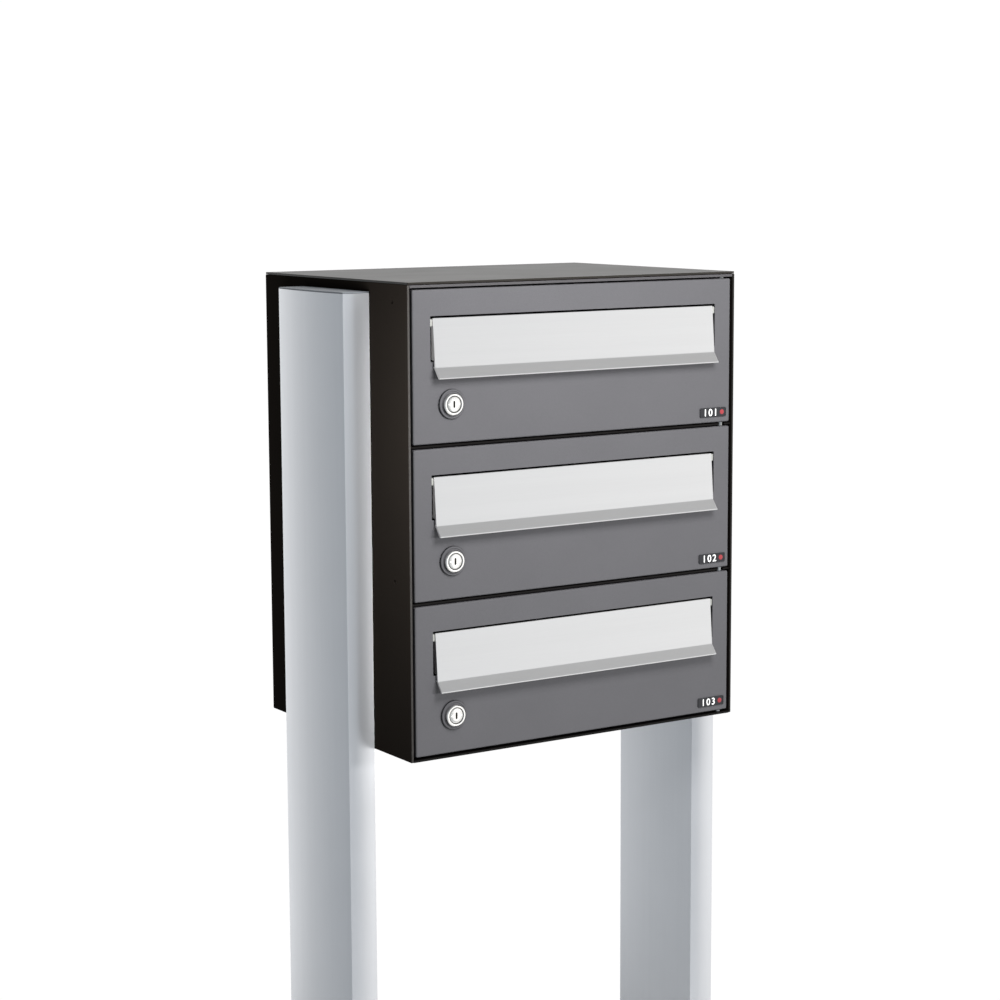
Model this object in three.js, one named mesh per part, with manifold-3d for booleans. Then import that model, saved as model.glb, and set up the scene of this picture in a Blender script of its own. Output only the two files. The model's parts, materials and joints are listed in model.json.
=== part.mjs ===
// Cluster mailbox unit: three letterboxes stacked in one casing between two ground posts.
// Millimetres, +Z up, +X to the right, the doors face -Y. The origin is on the ground, midway
// between the posts and midway between the flap lips and the back of the casing.
import * as THREE from 'three';
import { mergeVertices } from 'three/addons/utils/BufferGeometryUtils.js';
import Module from 'manifold-3d';

const wasm = await Module();
wasm.setup();

// Driving dimensions.
const CASING_WIDTH = 385;
const CASING_DEPTH = 285;
const UNIT_TOP = 1300; // roof above the ground
const TIER_NAMES = ['bottom', 'middle', 'top'];
const TIER_PITCH = 150;
const HEAD_ROOM = 7; // top door edge to the roof's upper face
const SHEET = 2;
const HEADER = { depth: 14, drop: 5.2, joint: 0.7 }; // strip over the top door, below the roof's upper face
const SHELF_FRONT = 1.5; // shelf edge behind the door fronts
const FIT = 0.3; // gap between separate pieces that touch

// Doors: folded trays that turn on pivot pins near their right edge.
const DOOR_WIDTH = 375;
const DOOR_GAP = 4.5; // between one door and the next
const DOOR_HEIGHT = TIER_PITCH - DOOR_GAP;
const DOOR_FLANGE = 12; // depth of the folded rim
const RIM = 1.5;
const PIVOT = { x: 179, y: 5, shoulder: 2.75, tip: 2, bore: 2.4 };

// Letter slot and its flap, measured down from the door's top edge.
const SLOT = { width: 336, top: -25, bottom: -68 };
const FLAP = { width: 330, thickness: 1.8, hingeY: 5.5, hingeZ: -31.5, knuckle: 4, bore: 2.35 };
const FLAP_FACE = [
  [-5.2, 4.6],
  [-8.9, -42],
  [-16.5, -51.6],
]; // outer face from the top edge over the bend to the lip, from the hinge axis
const CHEEK = { thickness: 1.5, back: -2.1, top: 2.5, bottom: -35.3 }; // end plates of the flap, from the hinge axis
const LIP_REACH = -(FLAP_FACE[2][0] + FLAP.hingeY); // lip in front of the door
const ROD_RADIUS = 2;
const SLOT_FRAME = { halfWidth: 173, clearHalf: 168.3, top: -19, clearTop: -23.5, sill: -70, bottom: -76, depth: 16 };

// Cam lock, along +Y from the door's front face.
const LOCK = { x: -145.5, z: -108.5, collar: 14.4, head: 10.5, barrel: 9.3, hole: 9.7, plug: 7.6, plugBore: 7.9 };
const LOCK_Y = { face: -5.7, head: -2.6, collar: -2.3, rear: 20, cam: 20.6, camBack: 22.6 };
const CAM = { hub: 9, reach: 34, width: 13, square: 8 };
const LOCK_NUT = { radius: 13.9, thickness: 5 };
const CAM_SCREW = { head: 5.5, height: 2.2, shank: 1.9, length: 6 };
const KEYWAY = { width: 2, height: 8, depth: 9, well: 2.3, wellDepth: 1.2 };
const NUMBER_PLATE = { left: 149.5, width: 33, height: 9.5, centre: -135, thickness: 0.8, corner: 1.5 };

// Posts, their feet and caps, and the bolts that hold the casing.
const POST = { thick: 29, crown: 3.5, seat: 1.5, halfDepth: 65, endCrown: 2, corner: 1, wall: 3, centre: 133, below: 11 };
const CAP = { plate: 1, plug: 10 };
const FOOT = { width: 100, depth: 220, plate: 8, spigot: 60, spigotWall: 5, hole: 5.5, inset: 18 };
const BOLT = { head: 8, headHeight: 4, shank: 4, bore: 4.4, length: 16, heights: [75, 380] };
const LINK_HOLE = { radius: 2.2, depth: 28.5, heights: [171, 438] };
const STRIKE = { y: 17, width: 18, leg: 20, thickness: 1.5, height: 44 };

// Worked out from the driving dimensions.
const CASING_HEIGHT = TIER_NAMES.length * TIER_PITCH + HEAD_ROOM;
const FLOOR_Z = UNIT_TOP - CASING_HEIGHT;
const FRONT_Y = -(CASING_DEPTH - LIP_REACH) / 2;
const INNER_HALF = CASING_WIDTH / 2 - SHEET - FIT; // pieces between the side panels
const WALL_TOP = CASING_HEIGHT - SHEET - FIT;
const POST_TOP = UNIT_TOP - POST.below - CAP.plate - FIT;

const FINISH = {
  casing: { color: 0x1d1b1a, roughness: 0.42, metalness: 0.1 },
  door: { color: 0x55565a, roughness: 0.5, metalness: 0.2 },
  flap: { color: 0xd4d5d6, roughness: 0.38, metalness: 0.9 },
  post: { color: 0xb9bfc4, roughness: 0.35, metalness: 0.85 },
  cap: { color: 0x5f646b, roughness: 0.55, metalness: 0 },
  foot: { color: 0x8d9093, roughness: 0.5, metalness: 0.8 },
  nickel: { color: 0xe6e1d3, roughness: 0.2, metalness: 1 },
  steel: { color: 0xb0b0ac, roughness: 0.35, metalness: 0.9 },
  plastic: { color: 0x141414, roughness: 0.6, metalness: 0 },
};

// A closed three.js geometry as a manifold solid, ready to join or cut.
function solid(geometry) {
  const bare = new THREE.BufferGeometry();
  bare.setAttribute('position', geometry.getAttribute('position'));
  bare.setIndex(geometry.getIndex());
  const merged = mergeVertices(bare, 1e-4);
  return new wasm.Manifold(new wasm.Mesh({
    numProp: 3,
    vertProperties: merged.attributes.position.array,
    triVerts: new Uint32Array(merged.index.array),
  }));
}

// A named mesh of a manifold solid in one of the finishes.
function piece(name, shape, finish) {
  const mesh = shape.getMesh();
  const geometry = new THREE.BufferGeometry();
  geometry.setAttribute('position', new THREE.BufferAttribute(new Float32Array(mesh.vertProperties), 3));
  geometry.setIndex(new THREE.BufferAttribute(new Uint32Array(mesh.triVerts), 1));
  geometry.computeVertexNormals();
  const named = new THREE.Mesh(geometry, new THREE.MeshStandardMaterial(FINISH[finish]));
  named.name = name;
  return named;
}

// A block between two opposite corners.
function block([x0, x1], [y0, y1], [z0, z1]) {
  const geometry = new THREE.BoxGeometry(x1 - x0, y1 - y0, z1 - z0);
  return solid(geometry.translate((x0 + x1) / 2, (y0 + y1) / 2, (z0 + z1) / 2));
}

// Extrusions of a flat shape: its two axes become the first two of the names, the depth the third.
function extrude(shape, [from, to], axes, curveSegments = 8) {
  const geometry = new THREE.ExtrudeGeometry(shape, { depth: to - from, bevelEnabled: false, curveSegments });
  const basis = {
    xyz: [new THREE.Vector3(1, 0, 0), new THREE.Vector3(0, 1, 0), new THREE.Vector3(0, 0, 1), from],
    yzx: [new THREE.Vector3(0, 1, 0), new THREE.Vector3(0, 0, 1), new THREE.Vector3(1, 0, 0), from],
    xzy: [new THREE.Vector3(1, 0, 0), new THREE.Vector3(0, 0, 1), new THREE.Vector3(0, -1, 0), -to],
  }[axes];
  const [u, v, w, start] = basis;
  geometry.translate(0, 0, start).applyMatrix4(new THREE.Matrix4().makeBasis(u, v, w));
  return solid(geometry);
}

// A round rod of one radius between two places along an axis, centred on (a, b) across it.
function rod(axis, [a, b], radius, [from, to], sides = 24) {
  const circle = new THREE.Shape().absarc(0, 0, radius, 0, 2 * Math.PI);
  const shape = new THREE.Shape(circle.getPoints(sides / 4).slice(0, -1).map((p) => p.add({ x: a, y: b })));
  return extrude(shape, [from, to], { x: 'yzx', y: 'xzy', z: 'xyz' }[axis]);
}

// A rectangle with rounded corners.
function roundedRectangle(halfWidth, halfHeight, corner) {
  const shape = new THREE.Shape();
  shape.absarc(halfWidth - corner, halfHeight - corner, corner, 0, Math.PI / 2);
  shape.absarc(corner - halfWidth, halfHeight - corner, corner, Math.PI / 2, Math.PI);
  shape.absarc(corner - halfWidth, corner - halfHeight, corner, Math.PI, 1.5 * Math.PI);
  shape.absarc(halfWidth - corner, corner - halfHeight, corner, 1.5 * Math.PI, 2 * Math.PI);
  return shape;
}

// ---- Casing: root frame with the floor of the casing at z = 0 and its front edge at y = 0 ----

function sidePanel(side) {
  const across = side * (CASING_WIDTH / 2 - SHEET / 2);
  const span = [across - SHEET / 2, across + SHEET / 2];
  let panel = block(span, [0, CASING_DEPTH], [0, WALL_TOP]);
  const through = [span[0] - 1, span[1] + 1];
  for (const z of LINK_HOLE.heights) {
    panel = panel.subtract(rod('x', [LINK_HOLE.depth, z], LINK_HOLE.radius, through, 16));
  }
  for (const z of BOLT.heights) {
    panel = panel.subtract(rod('x', [POST.centre, z], BOLT.bore, through));
  }
  return panel;
}

function roofPanel() {
  return block([-CASING_WIDTH / 2, CASING_WIDTH / 2], [0, CASING_DEPTH], [CASING_HEIGHT - SHEET, CASING_HEIGHT]);
}

function floorPanel() {
  const plate = block([-INNER_HALF, INNER_HALF], [0, CASING_DEPTH - SHEET - FIT], [0, SHEET]);
  return plate.subtract(rod('z', [PIVOT.x, PIVOT.y], PIVOT.bore, [-1, SHEET + 1]));
}

function backPanel() {
  return block([-INNER_HALF, INNER_HALF], [CASING_DEPTH - SHEET, CASING_DEPTH], [0, WALL_TOP]);
}

// The strip that closes the front between the top door and the roof.
function headerStrip() {
  const heights = [CASING_HEIGHT - HEADER.drop, CASING_HEIGHT - SHEET - HEADER.joint];
  const strip = block([-INNER_HALF, INNER_HALF], [0, HEADER.depth], heights);
  return strip.subtract(rod('z', [PIVOT.x, PIVOT.y], PIVOT.bore, [heights[0] - 1, heights[1] + 1]));
}

// A shelf between two boxes; its front edge shows in the gap between the doors.
function shelf() {
  const plate = block([-INNER_HALF, INNER_HALF], [SHELF_FRONT, CASING_DEPTH - SHEET - FIT], [0, SHEET]);
  const slot = PIVOT.shoulder + FIT;
  return plate
    .subtract(rod('z', [PIVOT.x, PIVOT.y], slot, [-1, SHEET + 1]))
    .subtract(block([PIVOT.x - slot, PIVOT.x + slot], [0, PIVOT.y], [-1, SHEET + 1]));
}

// A pivot pin: a shoulder that carries the door above, and a thinner tip at each end.
function pivotPin([low, high], [tipLow, tipHigh]) {
  const shoulder = rod('z', [PIVOT.x, PIVOT.y], PIVOT.shoulder, [low, high]);
  return shoulder.add(rod('z', [PIVOT.x, PIVOT.y], PIVOT.tip, [tipLow, tipHigh]));
}

// The angle that a lock's cam turns behind, on the left side panel.
function strike(lockHeight) {
  const wall = -INNER_HALF;
  const heights = [lockHeight - STRIKE.height / 2, lockHeight + STRIKE.height / 2];
  const face = block([wall, wall + STRIKE.width], [STRIKE.y, STRIKE.y + STRIKE.thickness], heights);
  return face.add(block([wall, wall + STRIKE.thickness], [STRIKE.y, STRIKE.y + STRIKE.leg], heights));
}

function casing() {
  const group = new THREE.Group();
  group.position.set(0, FRONT_Y, FLOOR_Z);
  group.add(
    piece('side_panel_left', sidePanel(-1), 'casing'),
    piece('side_panel_right', sidePanel(1), 'casing'),
    piece('roof_panel', roofPanel(), 'casing'),
    piece('floor_panel', floorPanel(), 'casing'),
    piece('back_panel', backPanel(), 'casing'),
    piece('header_strip', headerStrip(), 'casing'),
  );

  const floorTips = [0.2, DOOR_GAP + RIM + 2];
  group.add(piece('pivot_pin_bottom', pivotPin([SHEET + FIT, DOOR_GAP - FIT], floorTips), 'steel'));
  ['lower', 'upper'].forEach((name, index) => {
    const doorTop = (index + 1) * TIER_PITCH;
    const divider = piece(`shelf_${name}`, shelf(), 'casing');
    divider.position.z = doorTop + (DOOR_GAP - SHEET) / 2;
    const shoulder = [doorTop + FIT, doorTop + DOOR_GAP - FIT];
    const tips = [doorTop - RIM - 2, doorTop + DOOR_GAP + RIM + 2];
    group.add(divider, piece(`pivot_pin_${name}`, pivotPin(shoulder, tips), 'steel'));
  });
  const topDoor = TIER_NAMES.length * TIER_PITCH;
  const headTips = [topDoor - RIM - 2, CASING_HEIGHT - SHEET - HEADER.joint];
  const headShoulder = [topDoor + FIT, CASING_HEIGHT - HEADER.drop - FIT];
  group.add(piece('pivot_pin_top', pivotPin(headShoulder, headTips), 'steel'));

  TIER_NAMES.forEach((tier, index) => {
    group.add(piece(`strike_${tier}`, strike((index + 1) * TIER_PITCH + LOCK.z), 'steel'));
  });
  return group;
}

// ---- Doors: each in a frame with the door's top centre on its front face as origin ----

function doorTray() {
  const half = DOOR_WIDTH / 2;
  const hollow = block([RIM - half, half - RIM], [SHEET, DOOR_FLANGE + 1], [RIM - DOOR_HEIGHT, -RIM]);
  return block([-half, half], [0, DOOR_FLANGE], [-DOOR_HEIGHT, 0])
    .subtract(hollow)
    .subtract(block([-SLOT.width / 2, SLOT.width / 2], [-1, SHEET + 1], [SLOT.bottom, SLOT.top]))
    .subtract(rod('y', [LOCK.x, LOCK.z], LOCK.hole, [-1, SHEET + 1], 32))
    .subtract(rod('z', [PIVOT.x, PIVOT.y], PIVOT.bore, [-DOOR_HEIGHT - 1, 1]));
}

// The liner behind the slot; its cheeks hold the ends of the flap's rod.
function slotFrame() {
  const { halfWidth, clearHalf, top, clearTop, sill, bottom, depth } = SLOT_FRAME;
  const front = SHEET + FIT;
  return block([-halfWidth, halfWidth], [front, depth], [bottom, top])
    .subtract(block([-clearHalf, clearHalf], [front - 1, depth + 1], [sill, clearTop]))
    .subtract(rod('x', [FLAP.hingeY, FLAP.hingeZ], FLAP.bore, [-halfWidth - 1, halfWidth + 1]));
}

// A bent sheet's section: its outer face, and the same line set in by the thickness.
function sheetSection(face, thickness) {
  const points = face.map(([x, y]) => new THREE.Vector2(x, y));
  const normals = points.slice(1).map((p, i) => {
    const run = p.clone().sub(points[i]).normalize();
    return new THREE.Vector2(-run.y, run.x);
  });
  const inner = points.map((p, i) => {
    const before = normals[Math.max(i - 1, 0)];
    const after = normals[Math.min(i, normals.length - 1)];
    const mitre = before.clone().add(after);
    return p.clone().addScaledVector(mitre, thickness / (1 + before.dot(after)));
  });
  return new THREE.Shape([...points, ...inner.reverse()]);
}

// The flap, from its hinge axis: outer sheet, knuckle round the rod, and a rib that meets the door.
function flap() {
  const ends = [-FLAP.width / 2, FLAP.width / 2];
  const ribTip = -FLAP.hingeY - 0.4;
  return extrude(sheetSection(FLAP_FACE, FLAP.thickness), ends, 'yzx')
    .add(block(ends, [-4.5, -2.6], [-2.5, 2.5]))
    .add(rod('x', [0, 0], FLAP.knuckle, ends))
    .add(block(ends, [FLAP_FACE[1][0] + 1, ribTip], [FLAP_FACE[1][1] + 0.3, FLAP_FACE[1][1] + 1.5]))
    .add(flapCheek([ends[0], ends[0] + CHEEK.thickness]))
    .add(flapCheek([ends[1] - CHEEK.thickness, ends[1]]))
    .subtract(rod('x', [0, 0], FLAP.bore, [ends[0] - 1, ends[1] + 1]));
}

// An end plate between the flap's sheet and a straight rear edge inside the slot.
function flapCheek(span) {
  const [[topY, topZ], [bendY, bendZ]] = FLAP_FACE;
  const sheetAt = (z) => topY + FLAP.thickness / 2 + ((z - topZ) * (bendY - topY)) / (bendZ - topZ);
  const plate = new THREE.Shape([
    new THREE.Vector2(sheetAt(CHEEK.top), CHEEK.top),
    new THREE.Vector2(sheetAt(CHEEK.bottom), CHEEK.bottom),
    new THREE.Vector2(CHEEK.back, CHEEK.bottom),
    new THREE.Vector2(CHEEK.back, CHEEK.top),
  ]);
  return extrude(plate, span, 'yzx');
}

function flapRod() {
  const end = SLOT_FRAME.halfWidth - 2 * FIT;
  return rod('x', [0, 0], ROD_RADIUS, [-end, end]);
}

// Lock pieces, from the lock's axis at the door's front face.
function lockCollar() {
  return rod('y', [0, 0], LOCK.collar, [LOCK_Y.collar, -FIT], 40)
    .subtract(rod('y', [0, 0], LOCK.hole, [LOCK_Y.collar - 1, 1], 32));
}

function lockBody() {
  return rod('y', [0, 0], LOCK.head, [LOCK_Y.face, LOCK_Y.head], 40)
    .add(rod('y', [0, 0], LOCK.barrel, [LOCK_Y.head, LOCK_Y.rear], 32))
    .subtract(rod('y', [0, 0], LOCK.plugBore, [LOCK_Y.face - 1, LOCK_Y.rear + 1], 32));
}

function lockNut() {
  const span = [SHEET + FIT, SHEET + FIT + LOCK_NUT.thickness];
  return extrude(new THREE.Shape(hexagon(LOCK_NUT.radius)), span, 'xzy')
    .subtract(rod('y', [0, 0], LOCK.hole, [span[0] - 1, span[1] + 1], 32));
}

function hexagon(radius) {
  return [...Array(6).keys()].map((i) => {
    const angle = (i * Math.PI) / 3;
    return new THREE.Vector2(radius * Math.cos(angle), radius * Math.sin(angle));
  });
}

function lockPlug() {
  const face = LOCK_Y.face + 0.3;
  const tang = CAM.square / 2;
  const end = LOCK_Y.camBack + FIT;
  return rod('y', [0, 0], LOCK.plug, [face, LOCK_Y.cam - FIT], 32)
    .add(block([-tang, tang], [LOCK_Y.rear, end], [-tang, tang]))
    .subtract(block(
      [-KEYWAY.width / 2, KEYWAY.width / 2],
      [face - 1, face + KEYWAY.depth],
      [-KEYWAY.height / 2, KEYWAY.height / 2],
    ))
    .subtract(rod('y', [0, 0], KEYWAY.well, [face - 1, face + KEYWAY.wellDepth], 20))
    .subtract(rod('y', [0, 0], CAM_SCREW.shank + FIT, [end - CAM_SCREW.length - 1, end + 1], 16));
}

// The cam hangs down at rest and turns to the left, behind the strike.
function lockCam() {
  const half = CAM.width / 2;
  const arm = new THREE.Shape();
  arm.absarc(0, half - CAM.reach, half, Math.PI, 2 * Math.PI);
  arm.lineTo(half, 0);
  arm.lineTo(-half, 0);
  const span = [LOCK_Y.cam, LOCK_Y.camBack];
  const hole = CAM.square / 2 + FIT;
  return extrude(arm, span, 'xzy')
    .add(rod('y', [0, 0], CAM.hub, span))
    .subtract(block([-hole, hole], [span[0] - 1, span[1] + 1], [-hole, hole]));
}

function camScrew() {
  const seat = LOCK_Y.camBack + 2 * FIT;
  return rod('y', [0, 0], CAM_SCREW.head, [seat, seat + CAM_SCREW.height])
    .add(rod('y', [0, 0], CAM_SCREW.shank, [seat - CAM_SCREW.length, seat], 16));
}

function numberPlate() {
  const { width, height, corner, thickness } = NUMBER_PLATE;
  return extrude(roundedRectangle(width / 2, height / 2, corner), [-thickness - FIT, -FIT], 'xzy', 4);
}

function door(tier, index) {
  const group = new THREE.Group();
  group.position.set(0, FRONT_Y, FLOOR_Z + (index + 1) * TIER_PITCH);
  group.add(
    piece(`door_${tier}_panel`, doorTray(), 'door'),
    piece(`door_${tier}_slot_frame`, slotFrame(), 'plastic'),
  );

  const hinge = new THREE.Group();
  hinge.position.set(0, FLAP.hingeY, FLAP.hingeZ);
  hinge.add(piece(`flap_${tier}`, flap(), 'flap'), piece(`door_${tier}_flap_rod`, flapRod(), 'steel'));

  const lock = new THREE.Group();
  lock.position.set(LOCK.x, 0, LOCK.z);
  lock.add(
    piece(`door_${tier}_lock_collar`, lockCollar(), 'door'),
    piece(`door_${tier}_lock_body`, lockBody(), 'nickel'),
    piece(`door_${tier}_lock_nut`, lockNut(), 'steel'),
    piece(`lock_${tier}_plug`, lockPlug(), 'nickel'),
    piece(`lock_${tier}_cam`, lockCam(), 'steel'),
    piece(`lock_${tier}_cam_screw`, camScrew(), 'steel'),
  );

  const plate = piece(`door_${tier}_number_plate`, numberPlate(), 'plastic');
  plate.position.set(NUMBER_PLATE.left + NUMBER_PLATE.width / 2, 0, NUMBER_PLATE.centre);
  group.add(hinge, lock, plate);
  return group;
}

// ---- Posts: each in a frame with x = 0 on the crown of its inner face, pointing away from the casing ----

// The post's outline set in by a margin, with all four faces crowned.
function postOutline(margin) {
  const back = POST.seat + margin;
  const thick = POST.seat + POST.thick - margin;
  const half = POST.halfDepth - margin;
  const corner = Math.max(POST.corner - margin, 0.8);
  const shape = new THREE.Shape();
  shape.moveTo(back + corner, -half);
  shape.quadraticCurveTo((back + thick) / 2, -half - 2 * POST.endCrown, thick - corner, -half);
  shape.quadraticCurveTo(thick, -half, thick, corner - half);
  shape.quadraticCurveTo(thick + 2 * POST.crown, 0, thick, half - corner);
  shape.quadraticCurveTo(thick, half, thick - corner, half);
  shape.quadraticCurveTo((back + thick) / 2, half + 2 * POST.endCrown, back + corner, half);
  shape.quadraticCurveTo(back, half, back, half - corner);
  shape.quadraticCurveTo(back - 2 * POST.seat, 0, back, corner - half);
  shape.quadraticCurveTo(back, -half, back + corner, -half);
  return new THREE.Shape(shape.getPoints(7).slice(0, -1));
}

function postTube() {
  const span = [FOOT.plate + FIT, POST_TOP];
  let tube = extrude(postOutline(0), span, 'xyz')
    .subtract(extrude(postOutline(POST.wall), [span[0] - 1, span[1] + 1], 'xyz'));
  for (const height of BOLT.heights) {
    tube = tube.subtract(rod('x', [0, FLOOR_Z + height], BOLT.bore, [-1, POST.wall + POST.seat + 1]));
  }
  return tube;
}

function postCap() {
  const underside = POST_TOP + FIT;
  const plug = POST.wall + 2 * FIT;
  return extrude(postOutline(0), [underside, underside + CAP.plate], 'xyz')
    .add(extrude(postOutline(plug), [underside - CAP.plug, underside], 'xyz'));
}

function postFoot() {
  const centre = POST.seat + POST.thick / 2;
  const spread = [FOOT.width / 2 - FOOT.inset, FOOT.depth / 2 - FOOT.inset];
  const outer = POST.wall + 2 * FIT;
  const spigot = extrude(postOutline(outer), [FOOT.plate, FOOT.plate + FOOT.spigot], 'xyz')
    .subtract(extrude(postOutline(outer + FOOT.spigotWall), [FOOT.plate, FOOT.plate + FOOT.spigot + 1], 'xyz'));
  const plate = roundedRectangle(FOOT.width / 2, FOOT.depth / 2, 8);
  let foot = extrude(plate, [0, FOOT.plate], 'xyz', 4).translate([centre, 0, 0]).add(spigot);
  for (const [a, b] of [[-1, -1], [1, -1], [1, 1], [-1, 1]]) {
    const place = [centre + a * spread[0], b * spread[1]];
    foot = foot.subtract(rod('z', place, FOOT.hole, [-1, FOOT.plate + 1]));
  }
  return foot;
}

// A bolt from inside the casing, with its head against the side panel.
function postBolt() {
  const seat = -SHEET - 2 * FIT;
  return rod('x', [0, 0], BOLT.head, [seat - BOLT.headHeight, seat])
    .add(rod('x', [0, 0], BOLT.shank, [seat, seat + BOLT.length]));
}

function post(name, side) {
  const group = new THREE.Group();
  group.position.set(side * (CASING_WIDTH / 2 + FIT), FRONT_Y + POST.centre, 0);
  group.rotation.z = side < 0 ? Math.PI : 0;
  group.add(
    piece(`post_${name}`, postTube(), 'post'),
    piece(`post_${name}_cap`, postCap(), 'cap'),
    piece(`post_${name}_foot`, postFoot(), 'foot'),
  );
  BOLT.heights.forEach((height, index) => {
    const bolt = piece(`post_${name}_bolt_${['lower', 'upper'][index]}`, postBolt(), 'steel');
    bolt.position.z = FLOOR_Z + height;
    group.add(bolt);
  });
  return group;
}

const unit = new THREE.Group();
unit.add(casing(), post('left', -1), post('right', 1), ...TIER_NAMES.map(door));

export default unit;
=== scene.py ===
"""Looks of the cluster mailbox unit: detailed pieces, finishes and a studio around the CAD frame."""
import json
import logging
import math
from collections.abc import Callable, Iterable
from dataclasses import dataclass
from enum import Enum

import bmesh
import bpy
from mathutils import Matrix, Vector

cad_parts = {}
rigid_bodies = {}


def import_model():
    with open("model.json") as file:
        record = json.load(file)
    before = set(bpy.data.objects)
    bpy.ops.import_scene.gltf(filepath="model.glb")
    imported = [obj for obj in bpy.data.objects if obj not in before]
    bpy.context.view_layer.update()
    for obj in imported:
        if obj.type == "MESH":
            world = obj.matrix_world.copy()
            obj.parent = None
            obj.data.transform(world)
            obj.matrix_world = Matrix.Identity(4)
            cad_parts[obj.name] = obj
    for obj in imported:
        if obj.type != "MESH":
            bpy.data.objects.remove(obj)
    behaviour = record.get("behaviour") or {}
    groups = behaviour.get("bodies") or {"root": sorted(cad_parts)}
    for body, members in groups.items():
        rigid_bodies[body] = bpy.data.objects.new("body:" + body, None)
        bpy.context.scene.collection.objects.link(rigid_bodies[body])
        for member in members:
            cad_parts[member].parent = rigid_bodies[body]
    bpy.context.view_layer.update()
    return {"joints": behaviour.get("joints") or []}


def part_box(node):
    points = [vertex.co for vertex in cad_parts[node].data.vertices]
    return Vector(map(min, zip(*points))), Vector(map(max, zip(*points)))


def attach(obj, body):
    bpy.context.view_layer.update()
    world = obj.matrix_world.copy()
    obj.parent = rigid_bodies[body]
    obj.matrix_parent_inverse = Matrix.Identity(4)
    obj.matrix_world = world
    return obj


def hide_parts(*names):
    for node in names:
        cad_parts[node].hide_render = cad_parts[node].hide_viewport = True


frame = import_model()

MM = 0.001
log = logging.getLogger("mailbox")

Point = tuple[float, float]
Triple = tuple[float, float, float]
Colour = Triple


class Tier(Enum):
    """The compartments from the ground up; the value is the number on the door's plate."""

    BOTTOM = 3
    MIDDLE = 2
    TOP = 1

    @property
    def word(self) -> str:
        """The tier's name as the nodes spell it."""
        return self.name.lower()


class Side(Enum):
    """The two sides of the casing; the value points away from it along X."""

    LEFT = -1
    RIGHT = 1

    @property
    def word(self) -> str:
        """The side's name as the nodes spell it."""
        return self.name.lower()


class Facing(Enum):
    """How a flat outline lies in the frame: the axes of its first, second and depth directions."""

    FRONT = ((1, 0, 0), (0, 0, 1), (0, -1, 0))
    SIDE = ((0, 1, 0), (0, 0, 1), (1, 0, 0))
    TOP = ((1, 0, 0), (0, 1, 0), (0, 0, 1))

    @property
    def matrix(self) -> Matrix:
        """The turn from outline directions to the frame."""
        return Matrix(self.value).transposed().to_4x4()


@dataclass(frozen=True)
class Extent:
    """A CAD node's box at rest, in millimetres."""

    low: Vector
    high: Vector

    @classmethod
    def of(cls, node: str) -> "Extent":
        """The box of one CAD node."""
        low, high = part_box(node)
        return cls(low / MM, high / MM)

    @property
    def middle(self) -> Vector:
        """The centre of the box."""
        return (self.low + self.high) / 2

    @property
    def xs(self) -> Point:
        """Its span along X."""
        return self.low.x, self.high.x

    @property
    def ys(self) -> Point:
        """Its span along Y."""
        return self.low.y, self.high.y

    @property
    def zs(self) -> Point:
        """Its span along Z."""
        return self.low.z, self.high.z


def pivot(joint: str) -> Vector:
    """Finds where a joint turns.

    Args:
        joint: the joint's name in the record.

    Returns:
        A point on its axis, in millimetres.
    """
    found = next(j for j in frame["joints"] if j["name"] == joint)
    return Vector(found["pos_m"]) / MM


# ---- Outlines ------------------------------------------------------------------------------------


def arc(centre: Point, radius: float, start: float, end: float, steps: int) -> list[Point]:
    """Lays points along an arc.

    Args:
        centre: the arc's centre.
        radius: its radius.
        start: the first angle in degrees.
        end: the last angle in degrees.
        steps: how many chords to use.

    Returns:
        The points from start to end, both included.
    """
    angles = (math.radians(start + (end - start) * i / steps) for i in range(steps + 1))
    return [(centre[0] + radius * math.cos(a), centre[1] + radius * math.sin(a)) for a in angles]


def circle(centre: Point, radius: float, steps: int = 48) -> list[Point]:
    """A full circle without a repeated point."""
    return arc(centre, radius, 0, 360, steps)[:-1]


def rounded_box(xs: Point, ys: Point, corner: float, steps: int = 5) -> list[Point]:
    """Draws a rectangle with round corners.

    Args:
        xs: its span in the first direction.
        ys: its span in the second direction.
        corner: the radius of the corners.
        steps: chords in each corner.

    Returns:
        The outline, counterclockwise.
    """
    corners = (
        (xs[1], ys[1], -1, -1, 0),
        (xs[0], ys[1], 1, -1, 90),
        (xs[0], ys[0], 1, 1, 180),
        (xs[1], ys[0], -1, 1, 270),
    )
    return [
        point
        for x, y, inward_x, inward_y, start in corners
        for point in arc((x + inward_x * corner, y + inward_y * corner), corner, start, start + 90, steps)
    ]


def bow(start: Point, control: Point, end: Point, steps: int) -> list[Point]:
    """Lays points along a quadratic curve, without its last point.

    Args:
        start: where the curve begins.
        control: the point that it bends towards.
        end: where it stops.
        steps: how many chords to use.

    Returns:
        The points from start up to the one before end.
    """
    ends = (Vector(start), Vector(control), Vector(end))
    return [
        tuple(ends[0] * (1 - t) ** 2 + ends[1] * 2 * t * (1 - t) + ends[2] * t**2)
        for t in (i / steps for i in range(steps))
    ]


# ---- Metalwork -----------------------------------------------------------------------------------


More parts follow.
